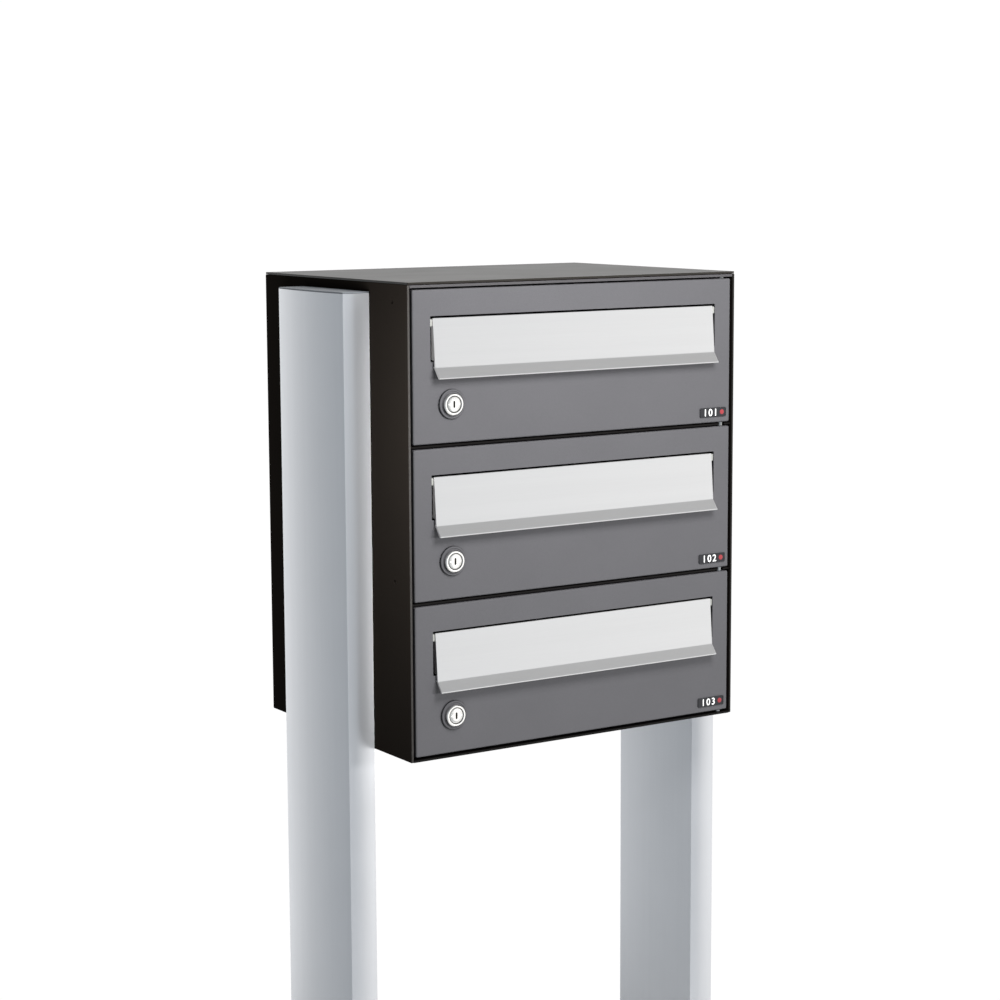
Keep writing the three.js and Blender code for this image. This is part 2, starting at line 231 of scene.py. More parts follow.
class Workpiece:
    """A piece on the bench: a bmesh in millimetres that operators shape into its final place."""

    SHARP = math.radians(50)
    MERGE = 1e-3

    def __init__(self) -> None:
        """Starts with an empty bench."""
        self.bm = bmesh.new()

    def loop(self, outline: Iterable[Point], height: float = 0.0) -> list[bmesh.types.BMEdge]:
        """Scribes a closed outline.

        Args:
            outline: its points in order.
            height: its place in the depth direction.

        Returns:
            The edges of the outline.
        """
        verts = [self.bm.verts.new((x, y, height)) for x, y in outline]
        return [self.bm.edges.new(pair) for pair in zip(verts, verts[1:] + verts[:1])]

    def fill(self, *outlines: Iterable[Point]) -> list[bmesh.types.BMFace]:
        """Fills an outline that may have holes.

        Args:
            outlines: the outer outline, then each hole.

        Returns:
            The new faces.
        """
        edges = [edge for outline in outlines for edge in self.loop(outline)]
        made = bmesh.ops.triangle_fill(self.bm, use_beauty=True, use_dissolve=False, edges=edges)
        return [g for g in made["geom"] if isinstance(g, bmesh.types.BMFace)]

    def push(self, faces: list[bmesh.types.BMFace], way: Iterable[float]) -> list[bmesh.types.BMFace]:
        """Extrudes faces along a direction.

        Args:
            faces: the region to move.
            way: how far it goes along each axis.

        Returns:
            The moved faces.
        """
        made = bmesh.ops.extrude_face_region(self.bm, geom=faces)["geom"]
        bmesh.ops.translate(self.bm, vec=way, verts=[g for g in made if isinstance(g, bmesh.types.BMVert)])
        return [g for g in made if isinstance(g, bmesh.types.BMFace)]

    def turn_to(self, facing: Facing, at: Iterable[float] = (0, 0, 0)) -> "Workpiece":
        """Lays everything on the bench into the frame.

        Args:
            facing: how the outlines lie.
            at: where their origin goes.

        Returns:
            The same piece.
        """
        place = Matrix.Translation(Vector(at)) @ facing.matrix
        bmesh.ops.transform(self.bm, matrix=place, verts=self.bm.verts)
        return self

    def shift(self, x: float = 0.0, y: float = 0.0, z: float = 0.0) -> "Workpiece":
        """Moves the whole piece."""
        bmesh.ops.translate(self.bm, vec=(x, y, z), verts=self.bm.verts)
        return self

    def add(self, other: "Workpiece") -> "Workpiece":
        """Takes in another piece's mesh, as a weld or press fit does.

        Args:
            other: the piece to join, which is used up.

        Returns:
            The same piece.
        """
        mesh = bpy.data.meshes.new("joined")
        other.bm.to_mesh(mesh)
        self.bm.from_mesh(mesh)
        bpy.data.meshes.remove(mesh)
        other.bm.free()
        return self

    def tidy(self) -> "Workpiece":
        """Merges doubled points and turns every face outwards."""
        bmesh.ops.remove_doubles(self.bm, verts=self.bm.verts, dist=self.MERGE)
        bmesh.ops.recalc_face_normals(self.bm, faces=self.bm.faces)
        return self

    def ease(
        self, width: float, segments: int = 3, where: Callable[[Vector], bool] | None = None
    ) -> "Workpiece":
        """Rounds the sharp edges.

        Args:
            width: how far the rounding reaches from each edge.
            segments: how many facets it has.
            where: a test on an edge's middle that picks the edges; all of them without it.

        Returns:
            The same piece.
        """
        sharp = [e for e in self.bm.edges if e.is_manifold and e.calc_face_angle() > self.SHARP]
        if where:
            sharp = [e for e in sharp if where((e.verts[0].co + e.verts[1].co) / 2)]
        bmesh.ops.bevel(
            self.bm,
            geom=sharp,
            offset=width,
            offset_type="OFFSET",
            segments=segments,
            profile=0.5,
            affect="EDGES",
            clamp_overlap=True,
            loop_slide=False,
            material=-1,
        )
        return self


def cut_plate(outline: list[Point], holes: list[list[Point]], span: Point, facing: Facing) -> Workpiece:
    """Cuts a plate or a length of profile.

    Args:
        outline: its outer outline.
        holes: outlines that go right through.
        span: where it starts and ends along the frame's axis across the outline.
        facing: how the outline lies.

    Returns:
        The plate, with sharp edges.
    """
    piece = Workpiece()
    faces = piece.fill(outline, *holes)
    piece.push(faces, (0, 0, span[1] - span[0]))
    base = -span[1] if facing is Facing.FRONT else span[0]
    piece.shift(z=base).turn_to(facing)
    return piece.tidy()


def turned(
    profile: list[Point], facing: Facing, at: Iterable[float], closed: bool = False, steps: int = 64
) -> Workpiece:
    """Turns a piece on a lathe.

    Args:
        profile: radius and height of each point, from axis to axis or round a ring's section.
        facing: its depth direction is the lathe's axis.
        at: where the origin of the profile goes.
        closed: true for a ring, whose profile closes on itself.
        steps: facets in a full turn.

    Returns:
        The turned piece, with sharp edges.
    """
    piece = Workpiece()
    verts = [piece.bm.verts.new((radius, 0, height)) for radius, height in profile]
    chain = list(zip(verts, verts[1:])) + ([(verts[-1], verts[0])] if closed else [])
    edges = [piece.bm.edges.new(pair) for pair in chain]
    bmesh.ops.spin(
        piece.bm,
        geom=verts + edges,
        cent=(0, 0, 0),
        axis=(0, 0, 1),
        dvec=(0, 0, 0),
        angle=2 * math.pi,
        steps=steps,
        use_merge=True,
        use_normal_flip=False,
        use_duplicate=False,
    )
    return piece.tidy().turn_to(facing, at)


def fold_tray(
    box: Extent, front_holes: list[list[Point]], rim_hole: list[Point], bend: float, sheet: float
) -> Workpiece:
    """Folds a sheet into a tray that is open at the back.

    Args:
        box: the box that it fills.
        front_holes: outlines cut through the front, in X and Z.
        rim_hole: an outline cut through the top and bottom rims, in X and Y.
        bend: outer radius of the folds.
        sheet: thickness of the sheet.

    Returns:
        The tray as one closed sheet.
    """
    raw_edge = 0.25
    low, high = box.low, box.high
    tray = Workpiece()
    tray.fill([(low.x, low.z), (high.x, low.z), (high.x, high.z), (low.x, high.z)], *front_holes)
    tray.turn_to(Facing.FRONT, (0, low.y, 0))
    for height in (low.z, high.z):
        rim = Workpiece()
        rim.fill([(low.x, low.y), (high.x, low.y), (high.x, high.y), (low.x, high.y)], rim_hole)
        tray.add(rim.turn_to(Facing.TOP, (0, 0, height)))
    for across in (low.x, high.x):
        cheek = Workpiece()
        cheek.fill([(low.y, low.z), (high.y, low.z), (high.y, high.z), (low.y, high.z)])
        tray.add(cheek.turn_to(Facing.SIDE, (across, 0, 0)))
    tray.tidy()
    front = next(f for f in tray.bm.faces if abs(f.calc_center_median().y - low.y) < Workpiece.MERGE)
    if front.normal.y > 0:
        bmesh.ops.reverse_faces(tray.bm, faces=tray.bm.faces)
    tray.ease(bend, 4)
    bmesh.ops.solidify(tray.bm, geom=tray.bm.faces[:], thickness=sheet)
    return tray.ease(raw_edge, 2)


# ---- Shader building -----------------------------------------------------------------------------


class Value:
    """A shader socket that takes part in arithmetic."""

    def __init__(self, recipe: "Recipe", socket: bpy.types.NodeSocket) -> None:
        """Wraps a socket of a recipe's tree."""
        self.recipe = recipe
        self.socket = socket

    def _maths(self, operation: str, first: "Value | float", second: "Value | float" = 0.0) -> "Value":
        """Adds a Math node.

        Args:
            operation: the node's operation.
            first: its first number.
            second: its second number.

        Returns:
            The result.
        """
        node = self.recipe.node("ShaderNodeMath", {"operation": operation}, {0: first, 1: second})
        return Value(self.recipe, node.outputs[0])

    def __add__(self, other: "Value | float") -> "Value":
        """self + other."""
        return self._maths("ADD", self, other)

    __radd__ = __add__

    def __mul__(self, other: "Value | float") -> "Value":
        """self * other."""
        return self._maths("MULTIPLY", self, other)

    __rmul__ = __mul__

    def __sub__(self, other: "Value | float") -> "Value":
        """self - other."""
        return self._maths("SUBTRACT", self, other)

    def __rsub__(self, other: "Value | float") -> "Value":
        """other - self."""
        return self._maths("SUBTRACT", other, self)

    def __pow__(self, other: "Value | float") -> "Value":
        """self to the power of other."""
        return self._maths("POWER", self, other)

    def sine(self) -> "Value":
        """The sine of self."""
        return self._maths("SINE", self)


class Recipe:
    """The node tree of one material, or of the world."""

    def __init__(self, owner: bpy.types.Material | bpy.types.World) -> None:
        """Starts on a fresh tree.

        Args:
            owner: the material or world that the tree belongs to.
        """
        owner.use_nodes = True
        self.tree = owner.node_tree
        self.surface = next(n for n in self.tree.nodes if n.type in ("BSDF_PRINCIPLED", "BACKGROUND"))

    @classmethod
    def paint(cls, name: str) -> "Recipe":
        """Starts a material with a bare Principled surface."""
        material = bpy.data.materials.new(name)
        recipe = cls(material)
        recipe.material = material
        return recipe

    def node(self, kind: str, settings: dict | None = None, inputs: dict | None = None) -> bpy.types.Node:
        """Adds a node.

        Args:
            kind: the node's type.
            settings: its own properties, set first.
            inputs: a number, colour or Value for each socket, by name or place.

        Returns:
            The new node.
        """
        node = self.tree.nodes.new(kind)
        for key, setting in (settings or {}).items():
            setattr(node, key, setting)
        for key, given in (inputs or {}).items():
            self.feed(node.inputs[key], given)
        return node

    def feed(self, socket: bpy.types.NodeSocket, given: "Value | float | Iterable[float]") -> None:
        """Links a Value to a socket, or sets a constant on it."""
        if isinstance(given, Value):
            self.tree.links.new(given.socket, socket)
        elif isinstance(given, tuple) and len(given) == 3 and socket.type == "RGBA":
            socket.default_value = (*given, 1.0)
        else:
            socket.default_value = given

    def ease(self, number: Value, start: float, end: float, low: float, high: float) -> Value:
        """Leads a number smoothly from one level to another.

        Args:
            number: what to follow.
            start: where the change starts.
            end: where it is done.
            low: the level up to the start.
            high: the level from the end on.

        Returns:
            The eased level.
        """
        inputs = {"Value": number, "From Min": start, "From Max": end, "To Min": low, "To Max": high}
        node = self.node("ShaderNodeMapRange", {"interpolation_type": "SMOOTHSTEP"}, inputs)
        return Value(self, node.outputs[0])

    def dress(self, **sockets: "Value | float | Colour") -> "Recipe":
        """Sets the surface's sockets; a name's underscores stand for spaces."""
        for name, given in sockets.items():
            self.feed(self.surface.inputs[name.replace("_", " ")], given)
        return self

    def place(self, stretch: Triple = (1, 1, 1), centre: Triple = (0, 0, 0)) -> Value:
        """Gives a place on the piece.

        Args:
            stretch: how much finer the pattern gets along each axis.
            centre: the point in metres that becomes the pattern's origin.

        Returns:
            The mapped object coordinates.
        """
        coordinates = self.node("ShaderNodeTexCoord")
        offset = tuple(-c * s for c, s in zip(centre, stretch))
        spot = Value(self, coordinates.outputs["Object"])
        inputs = {"Vector": spot, "Location": offset, "Scale": stretch}
        return Value(self, self.node("ShaderNodeMapping", {"vector_type": "POINT"}, inputs).outputs[0])

    def noise(self, grain: float, detail: float = 2.0, stretch: Triple = (1, 1, 1)) -> Value:
        """Makes a cloudy pattern.

        Args:
            grain: the size of its spots in millimetres.
            detail: how many finer layers it has.
            stretch: how much finer it gets along each axis.

        Returns:
            Numbers around one half.
        """
        scale = 1 / (grain * MM)
        inputs = {"Vector": self.place(stretch), "Scale": scale, "Detail": detail, "Roughness": 0.55}
        return Value(self, self.node("ShaderNodeTexNoise", {"noise_dimensions": "3D"}, inputs).outputs[0])

    def cells(self, grain: float) -> Value:
        """Makes a patchwork of cells, each with its own even brightness.

        Args:
            grain: the size of the cells in millimetres.

        Returns:
            A number between 0 and 1 for each cell.
        """
        inputs = {"Vector": self.place(), "Scale": 1 / (grain * MM), "Randomness": 1.0}
        cell = self.node("ShaderNodeTexVoronoi", {"feature": "F1"}, inputs)
        split = self.node("ShaderNodeSeparateColor", {}, {0: Value(self, cell.outputs["Color"])})
        return Value(self, split.outputs[0])

    def blend(self, factor: "Value", first: "Value | Colour", second: "Value | Colour") -> Value:
        """Blends two colours.

        Args:
            factor: 0 for the first and 1 for the second.
            first: a colour.
            second: another colour.

        Returns:
            The blended colour.
        """
        inputs = {"Factor": factor, "A": first, "B": second}
        node = self.tree.nodes.new("ShaderNodeMix")
        node.data_type = "RGBA"
        for key, given in inputs.items():
            socket = next(s for s in node.inputs if s.name == key and s.enabled)
            self.feed(socket, given)
        return Value(self, next(s for s in node.outputs if s.enabled))

    def relief(self, height: Value, depth: float) -> None:
        """Gives the surface a relief.

        Args:
            height: the pattern, from 0 to 1.
            depth: its depth in millimetres.
        """
        bump = self.node("ShaderNodeBump", {}, {"Strength": 1.0, "Distance": depth * MM, "Height": height})
        self.feed(self.surface.inputs["Normal"], Value(self, bump.outputs[0]))


def shade(colour: Colour, factor: float) -> Colour:
    """A colour made lighter or darker."""
    return tuple(min(1.0, c * factor) for c in colour)


@dataclass(frozen=True)
class PowderCoat:
    """Baked powder paint: a fine orange peel with tiny metallic flakes."""

    name: str
    colour: Colour
    roughness: float
    gloss: float = 0.5
    tint: Colour = (1.0, 1.0, 1.0)
    cloud: float = 70.0
    peel: float = 0.8
    peel_depth: float = 0.012
    flake: float = 0.35
    flake_contrast: float = 0.64
    # Painted highlight: a front edge's Y in metres, the band's width, its patchiness and its lighter
    # colour, standing in for light caught on the rounded edge.
    rubbed_from: float | None = None
    rubbed_width: float = 0.0011
    rubbed_spot: float = 4.0
    rubbed: Colour = (0.03, 0.0285, 0.027)

    def material(self) -> bpy.types.Material:
        """Mixes the paint; given a front edge's Y in metres, it paints a highlight along that edge: a thin
        band of lighter colour standing in for the light on the rounded edge.
        """
        recipe = Recipe.paint(self.name)
        cloud = recipe.noise(self.cloud)
        fine = recipe.noise(self.peel, 3.0)
        flakes = recipe.cells(self.flake)
        tone = (cloud - 0.5) * 0.5 + 0.5 + (flakes - 0.5) * self.flake_contrast
        paint = recipe.blend(tone, shade(self.colour, 0.86), shade(self.colour, 1.14))
        # Painted highlight: lighter paint in a thin, patchy band just behind the front edge.
        if self.rubbed_from is not None:
            split = recipe.node("ShaderNodeSeparateXYZ", {}, {0: recipe.place()})
            edge = self.rubbed_from
            near = recipe.ease(Value(recipe, split.outputs[1]), edge, edge + self.rubbed_width, 1.0, 0.0)
            highlight_mask = near * (recipe.noise(self.rubbed_spot) * 0.5 + 0.6)
            paint = recipe.blend(highlight_mask, paint, self.rubbed)
        recipe.dress(
            Base_Color=paint,
            Roughness=(cloud - 0.5) * 0.08 + (fine - 0.5) * 0.06 + self.roughness,
            Specular_IOR_Level=self.gloss,
            Specular_Tint=self.tint,
        )
        recipe.relief(fine, self.peel_depth)
        return recipe.material


@dataclass(frozen=True)
class Anodised:
    """Satin anodised aluminium with faint lines along one axis."""

    name: str
    colour: Colour
    roughness: float
    across: Triple
    metal: float = 1.0
    line: float = 0.45
    band: float = 9.0
    cloud: float = 60.0
    groove: float = 0.002

    def material(self) -> bpy.types.Material:
        """Brushes and anodises the metal."""
        recipe = Recipe.paint(self.name)
        lines = recipe.noise(self.line, 3.0, self.across)
        bands = recipe.noise(self.band, 2.0, self.across)
        cloud = recipe.noise(self.cloud)
        tone = (lines - 0.5) * 0.6 + (bands - 0.5) * 0.5 + (cloud - 0.5) * 0.4 + 0.5
        recipe.dress(
            Base_Color=recipe.blend(tone, shade(self.colour, 0.94), shade(self.colour, 1.04)),
            Metallic=self.metal,
            Roughness=(lines - 0.5) * 0.12 + (cloud - 0.5) * 0.06 + self.roughness,
        )
        recipe.relief(lines, self.groove)
        return recipe.material


@dataclass(frozen=True)
class TurnedNickel:
    """Nickel plate over a turned face, with fine rings round the lathe's axis."""

    name: str
    colour: Colour
    roughness: float
    centre: Triple
    ring_pitch: float = 0.35
    wear: float = 3.0
    depth: float = 0.0015

    def material(self) -> bpy.types.Material:
        """Turns and plates the metal."""
        recipe = Recipe.paint(self.name)
        split = recipe.node("ShaderNodeSeparateXYZ", {}, {0: recipe.place(centre=self.centre)})
        x, z = (Value(recipe, split.outputs[i]) for i in (0, 2))
        radius = (x * x + z * z) ** 0.5
        rings = (radius * (2 * math.pi / (self.ring_pitch * MM))).sine() * 0.5 + 0.5
        wear = recipe.noise(self.wear, 4.0)
        recipe.dress(
            Base_Color=recipe.blend(wear, shade(self.colour, 0.93), self.colour),
            Metallic=1.0,
            Roughness=wear * 0.12 + rings * 0.05 + (self.roughness - 0.08),
        )
        recipe.relief(rings * 0.5 + wear * 0.5, self.depth)
        return recipe.material


@dataclass(frozen=True)
class ZincPlate:
    """Zinc plated steel with a faint bloom of warm and cool tints."""

    name: str
    warm: Colour
    cool: Colour
    roughness: float
    bloom: float = 6.0
    grain: float = 0.5
    depth: float = 0.003

    def material(self) -> bpy.types.Material:
        """Plates the steel."""
        recipe = Recipe.paint(self.name)
        bloom = recipe.noise(self.bloom, 3.0)
        fine = recipe.noise(self.grain, 2.0)
        recipe.dress(
            Base_Color=recipe.blend((bloom - 0.5) * 2.2 + 0.5, self.warm, self.cool),
            Metallic=1.0,
            Roughness=(bloom - 0.5) * 0.2 + (fine - 0.5) * 0.1 + self.roughness,
        )
        recipe.relief(fine, self.depth)
        return recipe.material


@dataclass(frozen=True)
class Galvanised:
    """Hot dip galvanised steel with its spangle."""

    name: str
    colour: Colour
    roughness: float
    spangle: float
    cloud: float = 25.0
    depth: float = 0.02

    def material(self) -> bpy.types.Material:
        """Dips the steel."""
        recipe = Recipe.paint(self.name)
        spangle = recipe.cells(self.spangle)
        cloud = recipe.noise(self.cloud, 3.0)
        tone = spangle * 0.7 + cloud * 0.3
        recipe.dress(
            Base_Color=recipe.blend(tone, shade(self.colour, 0.72), shade(self.colour, 1.2)),
            Metallic=0.9,
            Roughness=spangle * 0.16 + cloud * 0.1 + (self.roughness - 0.13),
        )
        recipe.relief(cloud * 0.6 + spangle * 0.4, self.depth)
        return recipe.material


@dataclass(frozen=True)
class Moulded:
    """Moulded plastic with a fine spark-eroded grain."""

    name: str
    colour: Colour
    roughness: float
    grain: float = 0.6
    depth: float = 0.01
    cloud: float = 40.0

    def material(self) -> bpy.types.Material:
        """Moulds the plastic."""
        recipe = Recipe.paint(self.name)
        fine = recipe.noise(self.grain, 3.0)
        cloud = recipe.noise(self.cloud)
        tone = cloud * 0.5 + fine * 0.5
        recipe.dress(
            Base_Color=recipe.blend(tone, shade(self.colour, 0.9), shade(self.colour, 1.1)),
            Roughness=(fine - 0.5) * 0.14 + (cloud - 0.5) * 0.06 + self.roughness,
        )
        recipe.relief(fine, self.depth)
        return recipe.material


@dataclass(frozen=True)
class Palette:
    """Every finish on the unit, mixed once."""

    casing: bpy.types.Material
    rubbed: bpy.types.Material
    roof: bpy.types.Material
    inside: bpy.types.Material
    door: bpy.types.Material
    edge: bpy.types.Material
    flap: bpy.types.Material
    post: bpy.types.Material
    cap: bpy.types.Material
    foot: bpy.types.Material
    steel: bpy.types.Material
    liner: bpy.types.Material
    clip: bpy.types.Material
    shutter: bpy.types.Material
    plate: bpy.types.Material
    mark: bpy.types.Material
    dot: bpy.types.Material

    @classmethod
    def mixed(cls) -> "Palette":
        """Mixes all finishes."""
        along_x = (0.012, 1, 1)
        along_z = (1, 1, 0.008)
        black = (0.0075, 0.0062, 0.0052)
        front = Extent.of("side_panel_left").low.y * MM
        finishes = {
            "casing": PowderCoat("casing_powder_coat", black, 0.42, gloss=0.3),
            # Left side sheet: the casing paint without sheen, so its shaded face stays dark, and with a
            # painted highlight along its front edge.
            "rubbed": PowderCoat("rubbed_powder_coat", black, 0.5, gloss=0.0, rubbed_from=front),
            "roof": PowderCoat("roof_powder_coat", (0.0095, 0.008, 0.0066), 0.4, tint=(1.0, 0.965, 0.9)),
            # Painted shade: a darker, duller copy of the casing paint for the shelves and floor, which lie
            # in shade in the gaps between the doors.
            "inside": PowderCoat("inner_powder_coat", (0.0042, 0.0036, 0.0034), 0.5, gloss=0.15),
            "door": PowderCoat("door_powder_coat", (0.07, 0.0685, 0.073), 0.46),
            "edge": PowderCoat("edge_powder_coat", (0.048, 0.0455, 0.048), 0.42),
            "flap": Anodised("flap_anodised", (0.93, 0.925, 0.92), 0.34, along_x),
            "post": Anodised("post_anodised", (0.66, 0.67, 0.69), 0.32, along_z, metal=0.75),
            "cap": Moulded("cap_plastic", (0.172, 0.183, 0.197), 0.55),
            "foot": Galvanised("foot_galvanised", (0.42, 0.43, 0.44), 0.45, 9.0),
            "steel": ZincPlate("zinc_plated_steel", (0.56, 0.54, 0.49), (0.52, 0.55, 0.58), 0.32),
            "liner": Moulded("liner_plastic", (0.012, 0.012, 0.013), 0.5),
            "clip": Moulded("clip_nylon", (0.25, 0.25, 0.235), 0.45),
            "shutter": ZincPlate("shutter_spring_steel", (0.06, 0.05, 0.04), (0.09, 0.085, 0.08), 0.4, 2.0),
            "plate": Moulded("plate_plastic", (0.012, 0.012, 0.014), 0.3, depth=0.002),
            "mark": Moulded("plate_marking", (0.78, 0.78, 0.76), 0.4, depth=0.002),
            "dot": Moulded("plate_enamel", (0.23, 0.025, 0.03), 0.3, depth=0.002),
        }
        return cls(**{name: finish.material() for name, finish in finishes.items()})


# ---- Sub-assemblies ------------------------------------------------------------------------------


@dataclass
class Assembly:
    """A sub-assembly that dresses its own pieces."""

    CREASE = math.radians(42)

    palette: Palette

    def fit(
        self, name: str, piece: Workpiece, finish: bpy.types.Material, body: str, slot: str, *nodes: str
    ) -> None:
        """Takes a piece off the bench and fits it to a body.

        Args:
            name: the piece's name.
            piece: its mesh, in millimetres.
            finish: its material.
            body: the CAD body that it moves with.
            slot: the name of a record's slot; not used.
            nodes: the CAD nodes that it stands for.
        """
        bmesh.ops.scale(piece.bm, vec=(MM, MM, MM), verts=piece.bm.verts)
        mesh = bpy.data.meshes.new(name)
        piece.bm.to_mesh(mesh)
        piece.bm.free()
        mesh.shade_smooth()
        mesh.set_sharp_from_angle(angle=self.CREASE)
        mesh.materials.append(finish)
        fitted = bpy.data.objects.new(name, mesh)
        bpy.context.scene.collection.objects.link(fitted)
        normals = fitted.modifiers.new("even_faces", "WEIGHTED_NORMAL")
        normals.keep_sharp = True
        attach(fitted, body)
        if nodes:
            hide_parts(*nodes)
        log.info("%s: %d faces", name, len(mesh.polygons))


@dataclass
class Casing(Assembly):
    """The sheet metal body that holds the compartments."""

    sheet_edge: float = 0.9
    inner_edge: float = 0.5
    roof_corner: float = 1.0
    roof_edge: float = 0.95
    bar_corner: float = 0.8
    link_hole: float = 2.2
    link_depth: float = 28.5
    link_heights: tuple[float, float] = (171.0, 438.0)
    bolt_hole: float = 4.4
    pin_hole: float = 2.4
    pin_tip: float = 2.0
    tip_chamfer: float = 0.4
    shoulder_chamfer: float = 0.3
    clearance: float = 0.3
    notch: float = 3.05
    corner: float = 1.2
    strike_sheet: float = 1.5
    strike_bend: float = 2.2
    strike_rivet: float = 2.4
    back_edge: float = 0.45
    back_rivets: int = 4
    back_rivet: float = 3.2
    rivet_gap: float = 0.15
    rivet_inset: float = 11.0

    def build(self) -> None:
        """Makes every fixed piece of the casing."""
        self.floor = Extent.of("floor_panel").low.z
        self.front = Extent.of("side_panel_left").low.y
        for side in Side:
            self._side_panel(side)
        self._roof()
        self._floor_and_header()
        self._back()
        for name in ("lower", "upper"):
            self._shelf(name)
        for name in ("bottom", "lower", "upper", "top"):
            self._pin(name)
        for tier in Tier:
            self._strike(tier)

    def _skin(
        self, name: str, piece: Workpiece, edge: float, paint: bpy.types.Material, node: str
    ) -> None:
        """Fits one black sheet with eased edges."""
        self.fit(name, piece.ease(edge), paint, "casing", "casing", node)

    def _side_panel(self, side: Side) -> None:
        """Makes a side panel with its link and bolt holes."""
        node = f"side_panel_{side.word}"
        box = Extent.of(node)
        outline = rounded_box(box.ys, box.zs, self.corner)
        spots = ((self.front + self.link_depth, self.floor + height) for height in self.link_heights)
        links = [circle(spot, self.link_hole, 20) for spot in spots]
        seats = (Extent.of(f"post_{side.word}_bolt_{place}").middle for place in ("lower", "upper"))
        bolts = [circle((seat.y, seat.z), self.bolt_hole, 28) for seat in seats]
        panel = cut_plate(outline, links + bolts, box.xs, Facing.SIDE)
        # Only the left sheet takes the paint with less sheen for its shaded face and a painted highlight on
        # its front edge.
        paint = self.palette.rubbed if side is Side.LEFT else self.palette.casing
        self._skin(f"{side.word}_side_sheet", panel, self.sheet_edge, paint, node)

    def _roof(self) -> None:
        """Makes the roof sheet."""
        box = Extent.of("roof_panel")
        outline = rounded_box(box.xs, box.ys, self.roof_corner)
        roof = cut_plate(outline, [], box.zs, Facing.TOP)
        self._skin("roof_sheet", roof, self.roof_edge, self.palette.roof, "roof_panel")

    def _pin_seat(self) -> Vector:
        """The axis of the doors' pivot pins."""
        return Extent.of("pivot_pin_bottom").middle

    def _floor_and_header(self) -> None:
        """Makes the floor sheet and the strip over the top door, both bored for a pin."""
        seat = self._pin_seat()
        hole = circle((seat.x, seat.y), self.pin_hole, 24)
        for name, node, paint, slot in (
            # The floor takes the darker copy of the casing paint, painted shade.
            ("floor_sheet", "floor_panel", self.palette.inside, "casing"),
            ("header_bar", "header_strip", self.palette.edge, "door"),
        ):
            box = Extent.of(node)
            outline = rounded_box(box.xs, box.ys, self.bar_corner)
            plate = cut_plate(outline, [hole], box.zs, Facing.TOP)
            self.fit(name, plate.ease(self.inner_edge), paint, "casing", slot, node)

    def _back(self) -> None:
        """Makes the back sheet and its flush rivets."""
        box = Extent.of("back_panel")
        outline = rounded_box(box.xs, box.zs, self.corner)
        pitch = (box.high.z - box.low.z) / self.back_rivets
        rows = [box.low.z + pitch * (i + 0.5) for i in range(self.back_rivets)]
        columns = (box.low.x + self.rivet_inset, box.high.x - self.rivet_inset)
        spots = [(x, z) for x in columns for z in rows]
        holes = [circle(spot, self.back_rivet + self.rivet_gap, 28) for spot in spots]
        back = cut_plate(outline, holes, box.ys, Facing.FRONT)
        self._skin("back_sheet", back, self.back_edge, self.palette.casing, "back_panel")
        sheet, radius = box.high.y - box.low.y, self.back_rivet
        rim = [(radius - 1.2, 0.16), (radius - 0.3, 0.4), (radius, 0.8)]
        flush = [(0, 0.12), *rim, (radius, sheet), (0, sheet)]
        rivets = Workpiece()
        for x, z in spots:
            rivets.add(turned(flush, Facing.FRONT, (x, box.high.y, z), steps=28))
        self.fit("back_rivets", rivets, self.palette.casing, "casing", "casing")

    def _shelf(self, name: str) -> None:
        """Makes a shelf with a notch round its pivot pin."""
        node = f"shelf_{name}"
        box, seat = Extent.of(node), self._pin_seat()
        outline = [
            (box.low.x, box.low.y),
            (seat.x - self.notch, box.low.y),
            *arc((seat.x, seat.y), self.notch, 180, 0, 14),
            (seat.x + self.notch, box.low.y),
            (box.high.x, box.low.y),
            (box.high.x, box.high.y),
            (box.low.x, box.high.y),
        ]
        shelf = cut_plate(outline, [], box.zs, Facing.TOP)
        # The shelf takes the darker copy of the casing paint, painted shade for the recess.
        self._skin(f"{name}_shelf_sheet", shelf, self.inner_edge, self.palette.inside, node)

    def _pin(self, name: str) -> None:
        """Turns a pivot pin with chamfered tips."""
        node = f"pivot_pin_{name}"
        box, seat = Extent.of(node), self._pin_seat()
        shoulder, tip = (box.high.x - box.low.x) / 2, self.pin_tip
        nick, chamfer = self.shoulder_chamfer, self.tip_chamfer
        start, end = self._gap(name)
        profile = [
            (0, box.low.z),
            (tip - chamfer, box.low.z),
            (tip, box.low.z + chamfer),
            (tip, start),
            (shoulder - nick, start),
            (shoulder, start + nick),
            (shoulder, end - nick),
            (shoulder - nick, end),
            (tip, end),
            (tip, box.high.z - chamfer),
            (tip - chamfer, box.high.z),
            (0, box.high.z),
        ]
        pin = turned(profile, Facing.TOP, (seat.x, seat.y, 0), steps=32)
        self.fit(f"{name}_hinge_pin", pin, self.palette.steel, "casing", "steel", node)

    def _gap(self, name: str) -> Point:
        """Finds the span that a pin's shoulder fills between the sheets round it.

        Args:
            name: the pin's place.

        Returns:
            Where the shoulder starts and ends.
        """
        below, above = {
            "bottom": ("floor_panel", "door_bottom_panel"),
            "lower": ("door_bottom_panel", "door_middle_panel"),
            "upper": ("door_middle_panel", "door_top_panel"),
            "top": ("door_top_panel", "header_strip"),
        }[name]
        return Extent.of(below).high.z + self.clearance, Extent.of(above).low.z - self.clearance

